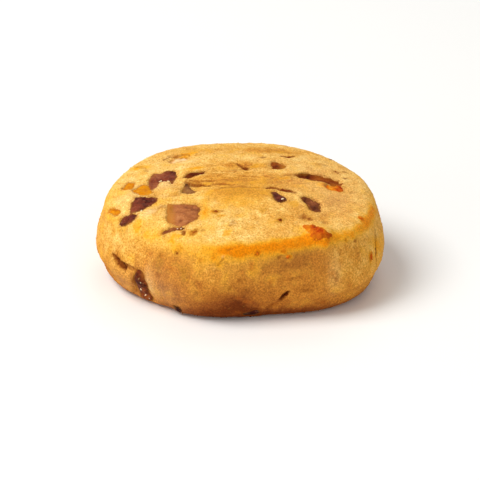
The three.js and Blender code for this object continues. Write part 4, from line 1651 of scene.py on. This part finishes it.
@dataclass
class Dough:
    """The cookie's body: one thick baked slice."""

    finish: ButterDoughFinish = field(default_factory=ButterDoughFinish)
    voxel: float = 0.27
    even_rounds: int = 45
    soft_rounds: int = 6
    swell_height: float = 0.1
    bed_depth: float = 0.6
    lip_height: float = 0.08
    crumb_size: float = 1.5
    crumb_height: float = 0.15
    sand_size: float = 0.62
    sand_height: float = 0.11
    pore_spacing: float = 2.4
    pore_depth: float = 0.28
    pore_wall: tuple[float, float] = (0.08, 0.24)
    drag_height: float = 0.13
    drag_stretch: Point = (0.07, 1.0, 1.0)
    clearance: float = 0.02
    seed: int = 11
    mesh: bpy.types.Mesh | None = None
    material: bpy.types.Material | None = None

    def start(self, node: bpy.types.Object, dice: list[Dice]) -> Surface:
        """Makes the dough's smooth skin, with every pocket filled level.

        Args:
            node: the frame's dough.
            dice: the chestnut dice, whose nodes lie in the pockets.

        Returns:
            The skin, to seat things on.
        """
        shell = merged_copy(node)
        for one in dice:
            if one.in_frame:
                self._add_plug(shell, bpy.data.objects[one.node])
        self.mesh = remeshed(shell, "baked_dough", self.voxel)
        relax(self.mesh, self.even_rounds, push=0.5)
        relax(self.mesh, self.soft_rounds)
        return Surface(self.mesh)

    def _add_plug(self, shell: bmesh.types.BMesh, node: bpy.types.Object) -> None:
        """Adds a swollen copy of a dice, sunk level with the dough, to fill its pocket.

        Args:
            shell: the dough's shell, which takes the plug in.
            node: the dice's node.
        """
        swell, sunk = 0.8, 0.35
        top_from, base_to, base_within = 11, 2.6, 16
        plug = merged_copy(node)
        bmesh.ops.recalc_face_normals(plug, faces=plug.faces)
        middle = sum((v.co for v in plug.verts), Vector()) / len(plug.verts) / MM
        if middle.z > top_from:
            out = Vector((0, 0, 1))
        elif middle.z < base_to and math.hypot(middle.x, middle.y) < base_within:
            out = Vector((0, 0, -1))
        else:
            out = Vector((middle.x, middle.y, 0)).normalized()
        for vert in plug.verts:
            vert.co += (vert.normal * swell - out * (swell + sunk)) * MM
        mesh = bpy.data.meshes.new("plug")
        plug.to_mesh(mesh)
        plug.free()
        shell.from_mesh(mesh)
        bpy.data.meshes.remove(mesh)

    def shape(self, dice: list[Dice], chip_sets: list["Chips"]) -> None:
        """Presses the dough's own features into the skin and writes its attributes.

        Args:
            dice: the seated dice, whose beds are cut.
            chip_sets: the seated chips, which colour the dough round them.
        """
        patch_wander, furrow_wander, brown_shade_fringe = 1.5, 0.5, 0.7
        tray_calm, crack_calm = 0.75, 0.6
        points, normals = read_points(self.mesh), read_normals(self.mesh)
        off_tray = smooth(points[:, 2], 0.5, 4)
        lift = self.swell_height * sampled_noise(points, size=5.5, seed=2) * off_tray
        crevice_shade, stain, cream, rim, streak = np.zeros((5, len(points)))
        ragged = sampled_noise(points, size=0.5, seed=8)
        # No edge in real dough is clean: each one wanders by this much.
        wander = 0.24 * sampled_noise(points, size=1.1, seed=5)
        wander += 0.13 * sampled_noise(points, size=0.45, seed=6)
        for dent in DENTS:
            lift += dent.height * falling(points, dent.at, dent.reach)
        # Beside a dice's outline: the start and end of the bed's wall, then where the lip, the gap with its
        # painted shade, the soaked dough and the crumbly rim are, each with its width.
        wall, lip, gap, soaked, crumbly = (-0.42, 0.1), (0.7, 0.5), (-0.2, 0.2), (0, 0.35), (0.05, 0.3)
        for one in dice:
            away = one.edge_distance(points) + wander
            lift += self.lip_height * ridge(away, *lip) - self.bed_depth * (1 - smooth(away, *wall))
            # Painted shade: the gap round each dice is darkened.
            crevice_shade = np.maximum(crevice_shade, one.rim_shade * ridge(away, *gap))
            stain = np.maximum(stain, one.rim_stain * ridge(np.maximum(away, 0), *soaked))
            rim = np.maximum(rim, ridge(away, *crumbly))
        # A furrow narrows towards both ends.
        for furrow in FURROWS:
            away, along = distance_to_line(points, furrow.line)
            taper = 0.35 + 0.65 * np.sin(np.pi * np.clip(0.12 + 0.76 * along, 0, 1))
            share = np.clip(1 - (away + furrow_wander * wander) / (furrow.width * taper), 0, 1)
            lift -= furrow.depth * smooth(share, 0, 1)
            # Painted shade along the furrow's middle.
            crevice_shade = np.maximum(crevice_shade, furrow.dark * smooth(share, 0.1, 0.75))
            stain = np.maximum(stain, furrow.stain * smooth(share, 0, 0.6))
        bake, butter = self._browning(points, normals)
        for patch in PATCHES:
            near = patch.share(points + patch_wander * wander[:, None], ragged)
            bake += patch.bake * near
            butter += patch.butter * near
            streak += patch.streak * near
            cream += patch.cream * near
            stain = np.maximum(stain, patch.stain * near)
        # Painted shade: cracks and gaps also take the chestnut-brown colour as a fringe to their shade.
        stain = np.maximum(stain, np.sqrt(crevice_shade) * brown_shade_fringe)
        for chips in chip_sets:
            for chip in chips.chips:
                near = chip.nearness(points + wander[:, None])
                stain = np.maximum(stain, chips.halo_stain * near)
                butter += chips.halo_butter * near
        # The relief is calm inside cracks and near the tray.
        near_tray = smooth(-points[:, 2], -0.9, -0.1)
        calm = 1 - np.maximum(tray_calm * near_tray, crack_calm * crevice_shade)
        write_points(self.mesh, points + normals * lift[:, None])
        for name, values in (
            ("bake", bake),
            ("butter", butter),
            ("stain", stain),
            ("crevice_shade", crevice_shade),
            ("streak", streak),
            ("cream", cream),
            ("rim", rim),
            ("calm", calm),
        ):
            store(self.mesh, name, np.clip(values, 0, 1))

    @staticmethod
    def _browning(points: np.ndarray, normals: np.ndarray) -> tuple[np.ndarray, np.ndarray]:
        """Works out how the oven coloured the dough all over.

        Args:
            points: the smooth skin's points.
            normals: its outward directions.

        Returns:
            How far it is baked, and how buttery orange it is.
        """
        top_bake, side_bake, base_bake = 0.23, 0.5, 0.78
        x, y, z = points.T
        turn = np.degrees(np.arctan2(y, x))
        top = smooth(normals[:, 2], 0.3, 0.85)
        base = smooth(-normals[:, 2], 0.3, 0.9)
        front = ridge(turn, -55, 56)
        left = ridge(turn, -158, 34)
        lit_left_foot = smooth(-turn, 120, 138) * (turn < 0)
        # The side is darker low down, partly browning and partly painted shade, and darkest where it
        # touched the tray, but not at its lowest left end, which is painted light.
        # It is a little darker in front, paler at the left, and paler towards the right as painted light.
        side = side_bake + 0.1 * smooth(-z, -12, -5) + 0.3 * smooth(-z, -3.2, 0.2) * (1 - lit_left_foot)
        side += 0.04 * front - 0.09 * smooth(turn, -60, -34) - 0.13 * left * smooth(z, 2, 9)
        bake = top * top_bake + (1 - top) * side
        bake = bake * (1 - base) + base * base_bake
        # The orange band along the top edge: how strong, how high and how wide it is round the front.
        round_front = (0, 15, 30, 42, 55, 90, 104, 118, 138, 180)
        strengths = (0.3, 0.6, 0.68, 0.66, 0.95, 1.0, 0.6, 0.3, 0.2, 0.2)
        band = np.interp(-turn, round_front, strengths)
        height = np.interp(-turn, (40, 55, 85), (13.9, 14.4, 13.4))
        fade = np.where(z > height, 0.9, np.interp(-turn, (40, 60, 75, 90), (1.1, 1.3, 1.4, 1.7)))
        cut = normals[:, 2] + 0.06 * sampled_noise(points, size=1.2, seed=33)
        cut += 0.04 * sampled_noise(points, size=0.5, seed=34)
        edge = ridge(z, height, fade) * (1 - smooth(cut, 0.74, 0.99))
        mottled = 1 + 0.12 * sampled_noise(points, size=2.2, seed=31)
        mottled += 0.22 * sampled_noise(points, size=0.8, seed=32)
        # The side under the band is faintly buttery too.
        warm = 0.1 * (1 - top) * smooth(z, 3, 11) * (0.1 + 0.9 * front) * smooth(-turn, 40, 75)
        return bake, edge * band * mottled + warm

    def sizes(self) -> dict[str, float | bpy.types.Material]:
        """Lists the values of the relief tree's named inputs.

        Returns:
            Each input's name with its value.
        """
        return {
            "Crumb size": self.crumb_size * MM,
            "Crumb height": self.crumb_height * MM,
            "Sand size": self.sand_size * MM,
            "Sand height": self.sand_height * MM,
            "Pore spacing": self.pore_spacing * MM,
            "Pore depth": self.pore_depth * MM,
            "Drag height": self.drag_height * MM,
            "Seed": float(self.seed),
            "Material": self.material,
        }

    def relief_tree(self) -> bpy.types.NodeTree:
        """Builds the tree that raises crumb, sand and the knife's drag marks, and sinks pores.

        Returns:
            The geometry node tree.
        """
        kinds = dict.fromkeys(self.sizes(), "Float") | {"Material": "Material"}
        tree, entry, leave = new_tree("crumb relief", kinds)
        node = partial(add_node, tree)
        given = entry.outputs
        place = node("GeometryNodeInputPosition")
        streak, calm = (
            node(OWN, {"Name": name}, data_type="FLOAT").outputs["Attribute"]
            for name in ("streak", "calm")
        )
        pull = node(VECTORS, {0: place, 1: self.drag_stretch}, operation="MULTIPLY")
        heights = []
        for where, size, detail, height in (
            (place, "Crumb size", 1.0, "Crumb height"),
            (place, "Sand size", 2.0, "Sand height"),
            (pull, "Sand size", 1.0, "Drag height"),
        ):
            scale = node(MATHS, {0: 1.0, 1: given[size]}, operation="DIVIDE")
            grain = {"Vector": where, "W": given["Seed"], "Scale": scale, "Detail": detail}
            pattern = node(NOISE, grain, noise_dimensions="4D")
            centred = node(MATHS, {0: pattern, 1: 2.0, 2: -1.0}, operation="MULTIPLY_ADD")
            heights.append(node(MATHS, {0: centred, 1: given[height]}, operation="MULTIPLY"))
        crumb, sand, pulled = heights
        drag = node(MATHS, {0: pulled, 1: streak}, operation="MULTIPLY")
        spacing = node(MATHS, {0: 1.0, 1: given["Pore spacing"]}, operation="DIVIDE")
        pores = {"Vector": place, "Scale": spacing, "W": given["Seed"]}
        cell = node(CELLS, pores, voronoi_dimensions="4D")
        start, end = self.pore_wall
        hole = {"Value": cell, "From Min": start, "From Max": end, "To Min": -1.0, "To Max": 0.0}
        sunk = node(STEP, hole, interpolation_type="SMOOTHSTEP")
        pore = node(MATHS, {0: sunk, 1: given["Pore depth"]}, operation="MULTIPLY")
        grains = node(MATHS, {0: crumb, 1: sand}, operation="ADD")
        pits = node(MATHS, {0: pore, 1: drag}, operation="ADD")
        both = node(MATHS, {0: grains, 1: pits}, operation="ADD")
        relief = node(MATHS, {0: both, 1: calm}, operation="MULTIPLY")
        offset = node(VECTORS, {0: node("GeometryNodeInputNormal"), "Scale": relief}, operation="SCALE")
        raised = node("GeometryNodeSetPosition", {"Geometry": given["Geometry"], "Offset": offset})
        return end_tree(tree, entry, leave, raised)

    def bake(self) -> bpy.types.Object:
        """Raises the crumb and shows the finished dough.

        Returns:
            The finished piece.
        """
        self.material = self.finish.material()
        self.mesh = grown_by_nodes(self.mesh, self.relief_tree(), self.sizes(), "baked_dough")
        keep_above(self.mesh, self.clearance)
        return set_in_place("baked_dough", self.mesh, "dough", "dough")


# ---- Crumbs and chips ----


@dataclass
class Crumbs:
    """Loose-looking grains of baked dough that stand on the surface."""

    per_square_mm: float = 0.55
    rim_per_square_mm: float = 3.5
    smallest: float = 0.07
    largest: float = 0.17
    least_stretch: Point = (0.7, 0.6, 0.35)
    most_stretch: Point = (1.3, 1.0, 0.75)
    most_turn: Point = (0.5, 0.5, 6.28)
    seed: int = 5

    def tree(self) -> bpy.types.NodeTree:
        """Builds the tree that strews grains over the dough.

        Returns:
            The geometry node tree.
        """
        sizes = ("Density", "Rim density", "Smallest", "Largest")
        kinds = dict.fromkeys(sizes, "Float") | {"Seed": "Int", "Material": "Material"}
        tree, entry, leave = new_tree("strewn crumbs", kinds)
        node = partial(add_node, tree)
        given = entry.outputs
        seed = given["Seed"]
        rim = node(OWN, {"Name": "rim"}, data_type="FLOAT").outputs["Attribute"]
        crowd = {0: rim, 1: given["Rim density"], 2: given["Density"]}
        density = node(MATHS, crowd, operation="MULTIPLY_ADD")
        spots = {"Mesh": given["Geometry"], "Density": density, "Seed": seed}
        strewn = node("GeometryNodeDistributePointsOnFaces", spots)
        grain = node("GeometryNodeMeshIcoSphere", {"Radius": 1.0, "Subdivisions": 1})
        size = node(RANDOM, {2: given["Smallest"], 3: given["Largest"], "Seed": seed}, data_type="FLOAT")
        squash, spin = (
            node(RANDOM, {0: least, 1: most, "Seed": seed}, data_type="FLOAT_VECTOR")
            for least, most in (
                (self.least_stretch, self.most_stretch),
                ((0.0, 0.0, 0.0), self.most_turn),
            )
        )
        scale = node(VECTORS, {0: squash, "Scale": size.outputs[1]}, operation="SCALE")
        turn = {"Rotation": strewn.outputs["Rotation"], "Rotate By": spin}
        turned = node("FunctionNodeRotateRotation", turn, rotation_space="LOCAL")
        places = {"Points": strewn, "Instance": grain, "Rotation": turned, "Scale": scale}
        return end_tree(tree, entry, leave, node("GeometryNodeInstanceOnPoints", places))

    def build(self, dough: Dough) -> bpy.types.Object:
        """Strews the grains.

        Args:
            dough: the finished dough.

        Returns:
            The finished piece.
        """
        sizes = {
            "Density": self.per_square_mm / MM**2,
            "Rim density": self.rim_per_square_mm / MM**2,
            "Smallest": self.smallest * MM,
            "Largest": self.largest * MM,
            "Seed": self.seed,
            "Material": dough.material,
        }
        mesh = grown_by_nodes(dough.mesh.copy(), self.tree(), sizes, "dough_crumbs")
        keep_above(mesh, 0.0)
        return set_in_place("dough_crumbs", mesh, "dough")


@dataclass
class Chips:
    """Flecks of chestnut of one kind, pressed into the surface; the pale set also holds painted glints."""

    name: str
    kind: Chestnut
    chips: list[Chip]
    tone: float = 0.5
    halo_stain: float = 0.4
    halo_butter: float = 0.0
    raggedness: float = 0.9
    ragged_size: float = 0.7
    seed: float = 4.0

    def tree(self) -> bpy.types.NodeTree:
        """Builds the tree that sets a chip on each marked place.

        Returns:
            The geometry node tree.
        """
        kinds = dict.fromkeys(("Raggedness", "Ragged size", "Seed"), "Float") | {"Material": "Material"}
        tree, entry, leave = new_tree(self.name, kinds)
        node = partial(add_node, tree)
        given = entry.outputs
        out, along, extent = (
            node(OWN, {"Name": name}, data_type="FLOAT_VECTOR").outputs["Attribute"]
            for name in ("out", "along", "extent")
        )
        chip = node("GeometryNodeMeshIcoSphere", {"Radius": 0.5, "Subdivisions": 4})
        upright = node("FunctionNodeAlignRotationToVector", {"Vector": out}, axis="Z")
        lengthwise = {"Rotation": upright, "Vector": along}
        turned = node("FunctionNodeAlignRotationToVector", lengthwise, axis="X", pivot_axis="Z")
        places = {"Points": given["Geometry"], "Instance": chip, "Rotation": turned, "Scale": extent}
        placed = node("GeometryNodeInstanceOnPoints", places)
        whole = node("GeometryNodeRealizeInstances", {"Geometry": placed})
        scale = node(MATHS, {0: 1.0, 1: given["Ragged size"]}, operation="DIVIDE")
        position = node("GeometryNodeInputPosition")
        grain = {"Vector": position, "W": given["Seed"], "Scale": scale, "Detail": 1.0}
        rag = node(NOISE, grain, noise_dimensions="4D").outputs["Color"]
        centred = node(VECTORS, {0: rag, 1: (0.5, 0.5, 0.5)}, operation="SUBTRACT")
        offset = node(VECTORS, {0: centred, "Scale": given["Raggedness"]}, operation="SCALE")
        ragged = node("GeometryNodeSetPosition", {"Geometry": whole, "Offset": offset})
        return end_tree(tree, entry, leave, ragged)

    def build(self, surface: Surface) -> bpy.types.Object:
        """Seats the chips and shows them.

        Args:
            surface: the skin of the dough with the dice in it.

        Returns:
            The finished piece.
        """
        widening, tone_spread, tone_mm, tone_seed = 1.35, 0.15, 0.7, 9
        rows = {"foot": [], "out": [], "along": [], "extent": []}
        for chip in self.chips:
            chip.find_seat(surface)
            extent = (chip.length * widening, chip.width * widening, 2 * chip.height)
            rows["foot"].append((chip.seat.foot + chip.seat.out * (chip.shown - chip.height)) * MM)
            rows["out"].append(chip.seat.out)
            rows["along"].append(chip.along())
            rows["extent"].append(np.array(extent) * MM)
        marks = bpy.data.meshes.new(self.name + "_marks")
        marks.from_pydata([Vector(foot) for foot in rows.pop("foot")], [], [])
        for name, values in rows.items():
            layer = marks.attributes.new(name, "FLOAT_VECTOR", "POINT")
            layer.data.foreach_set("vector", np.array(values, np.float32).ravel())
        sizes = {
            "Raggedness": self.raggedness * MM,
            "Ragged size": self.ragged_size * MM,
            "Seed": self.seed,
            "Material": self.kind.material(),
        }
        mesh = grown_by_nodes(marks, self.tree(), sizes, self.name)
        mottle = sampled_noise(read_points(mesh), tone_mm, tone_seed)
        store(mesh, "tone", self.tone + tone_spread * mottle)
        store(mesh, "gold", np.zeros(len(mesh.vertices)))
        return set_in_place(self.name, mesh, self.kind.slot)


CHIPS = [
    Chips(
        "dark_chestnut_chips",
        Chestnut.BUTTERED,
        [
            Chip((1.1, 4, 17.1), 1, 0.5, -40),
            Chip((7.4, -20.4, 5.1), 1.5, 0.4, 52),
            Chip((16.1, 11.4, 15), 0.6, 0.35, -20),
            Chip((-9.3, -15.9, 14.9), 0.6, 0.5, -10),
        ],
        tone=0.85,
        halo_stain=0.5,
    ),
    Chips(
        "brown_chestnut_chips",
        Chestnut.BUTTERED,
        [
            Chip((5.5, -4.3, 17), 1.3, 0.6, 4),
            Chip((8, -4.6, 16.9), 2, 0.6, -8),
            Chip((8.6, 10.4, 16.2), 1.5, 0.5, 14),
            Chip((16.9, 5.3, 15.6), 1.1, 0.5, -32),
            Chip((-3.9, -11.8, 16.5), 0.7, 0.5, 0),
            Chip((-7.5, -16.9, 15.2), 0.8, 0.5, 20),
            Chip((6.7, -13.9, 15.9), 0.8, 0.7, 0),
            Chip((23, -11.3, 8.8), 0.4, 1.1, 0),
        ],
        tone=0.55,
        halo_stain=0.4,
    ),
    Chips(
        "toasted_chestnut_chips",
        Chestnut.TOASTED,
        [
            Chip((20.2, -10.8, 14.7), 0.9, 0.45, 0),
            Chip((22.1, -13.2, 8.6), 0.6, 0.9, 20),
            Chip((3, -19.9, 12.8), 0.4, 0.5, 0),
            Chip((8.1, -19.5, 11.9), 0.4, 0.6, 10),
        ],
        tone=0.5,
        halo_stain=0.25,
        halo_butter=0.5,
    ),
    Chips(
        "pale_crumbs_and_painted_glints",
        Chestnut.MEALY_AND_GLINT,
        [
            # Pale crumbs by the back pieces and the left dark piece, which also serve as painted glints.
            Chip((-13.8, 1.5, 15.9), 0.4, 0.3, 10),
            Chip((-13.1, 1.1, 16), 0.3, 0.25, 50),
            Chip((-12.3, 0.6, 16.1), 0.35, 0.25, -20),
            Chip((-17.3, -9.4, 15.2), 0.35, 0.25, 20),
            Chip((-16.6, -9.2, 15.4), 0.3, 0.25, -40),
            # Painted glints: tiny white flecks on the dark skin piece, on the chunk in the crack and on the
            # front flake.
            Chip((7.3, -8, 16.9), 0.3, 0.2, 10, height=0.12, shown=0.07),
            Chip((-16.6, -16, 5.5), 0.2, 0.2, 0, height=0.1, shown=0.06),
            Chip((-16.3, -15.9, 4.2), 0.26, 0.3, 0, height=0.12, shown=0.07),
            Chip((-16.7, -15.1, 3.2), 0.18, 0.2, 0, height=0.1, shown=0.06),
            Chip((-15.9, -14.7, 1.9), 0.3, 0.24, 30, height=0.12, shown=0.07),
            Chip((-15.4, -14.3, 1.2), 0.2, 0.2, 30, height=0.1, shown=0.06),
            Chip((-10.4, -15.3, 15.3), 0.26, 0.16, 0, height=0.12, shown=0.07),
            Chip((-9.9, -15.5, 15.2), 0.2, 0.14, 40, height=0.1, shown=0.06),
            Chip((8.9, -19.9, 4), 0.25, 0.2, 30),
        ],
        tone=0.4,
        halo_stain=0,
    ),
]


# ---- The setting ----


@dataclass
class Studio:
    """Camera, soft light and a plain pale floor."""

    elevation: float = 27.0
    distance: float = 400.0
    focal_px: float = 2304.0
    frame_px: float = 480.0
    target: Point = (0.0, 0.0, 7.0)
    target_px: tuple[float, float] = (239.7, 230.0)
    floor_colour: str = "#F7F6F3"
    room_colour: Point = (1.0, 0.99, 0.97)
    room_strength: float = 0.36

    def build(self) -> None:
        """Sets up everything round the cookie."""
        self._camera()
        self._floor()
        self._lights()

    def _camera(self) -> None:
        """Places the camera so that the target lands on its pixel."""
        tilt = math.radians(self.elevation)
        ahead = Vector((0, math.cos(tilt), -math.sin(tilt)))
        upward = Vector((0, math.sin(tilt), math.cos(tilt)))
        px = self.distance / self.focal_px
        middle = self.frame_px / 2
        aim = Vector(self.target)
        aim.x += (middle - self.target_px[0]) * px
        aim -= upward * (middle - self.target_px[1]) * px
        lens = bpy.data.cameras.new("camera")
        lens.sensor_width = 36.0
        lens.lens = self.focal_px / self.frame_px * lens.sensor_width
        lens.clip_start = 0.01
        lens.clip_end = 10.0
        camera = in_scene("camera", lens)
        camera.location = (aim - ahead * self.distance) * MM
        camera.rotation_euler = ahead.to_track_quat("-Z", "Y").to_euler()
        bpy.context.scene.camera = camera

    def _floor(self) -> None:
        """Lays the floor at the cookie's base."""
        half = 1.5
        corners = [(-half, -half, 0), (half, -half, 0), (half, half, 0), (-half, half, 0)]
        mesh = bpy.data.meshes.new("floor")
        mesh.from_pydata(corners, [], [(0, 1, 2, 3)])
        paper = bpy.data.materials.new("matt_white_paper")
        paper.use_nodes = True
        shader = paper.node_tree.nodes["Principled BSDF"]
        shader.inputs["Base Color"].default_value = linear(self.floor_colour)
        shader.inputs["Roughness"].default_value = 0.9
        mesh.materials.append(paper)
        floor = in_scene("floor", mesh)

    def _lights(self) -> None:
        """Hangs the soft lamps and sets the room's own light."""
        middle = Vector((0, 0, 0.008))
        world = bpy.data.worlds.new("room")
        bpy.context.scene.world = world
        world.use_nodes = True
        room = world.node_tree.nodes["Background"]
        room.inputs["Color"].default_value = (*self.room_colour, 1.0)
        room.inputs["Strength"].default_value = self.room_strength
        for name, place, size, watts in (
            ("key", (-0.4, -0.1, 0.6), 0.4, 4.4),
            ("back", (0.15, 0.5, 0.5), 0.5, 0.8),
            ("fill", (0.45, -0.5, 0.3), 0.6, 0.85),
            ("low", (-0.5, -0.4, 0.12), 0.4, 0.9),
        ):
            lamp = bpy.data.lights.new(name, "AREA")
            lamp.size = size
            lamp.energy = watts
            light = in_scene(name, lamp)
            light.location = place
            light.rotation_euler = (middle - Vector(place)).to_track_quat("-Z", "Y").to_euler()
        bpy.context.scene.view_settings.view_transform = "Standard"


def main() -> None:
    """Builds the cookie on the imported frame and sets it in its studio."""
    logging.basicConfig(level=logging.INFO, format="%(message)s")
    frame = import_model()
    dough = Dough()
    surface = dough.start(frame["nodes"]["dough"], DICE)
    for dice in DICE:
        dice.find_seat(surface)
    for chips in CHIPS:
        for chip in chips.chips:
            chip.find_seat(surface)
    dough.shape(DICE, CHIPS)
    shaped = dough.mesh
    dough.bake()
    pieces = [dice.build(surface) for dice in DICE]
    shown = Surface(shaped, *[piece.data for piece in pieces])
    for chips in CHIPS:
        chips.build(shown)
    Crumbs().build(dough)
    Studio().build()


if __name__ == "__main__":
    main()
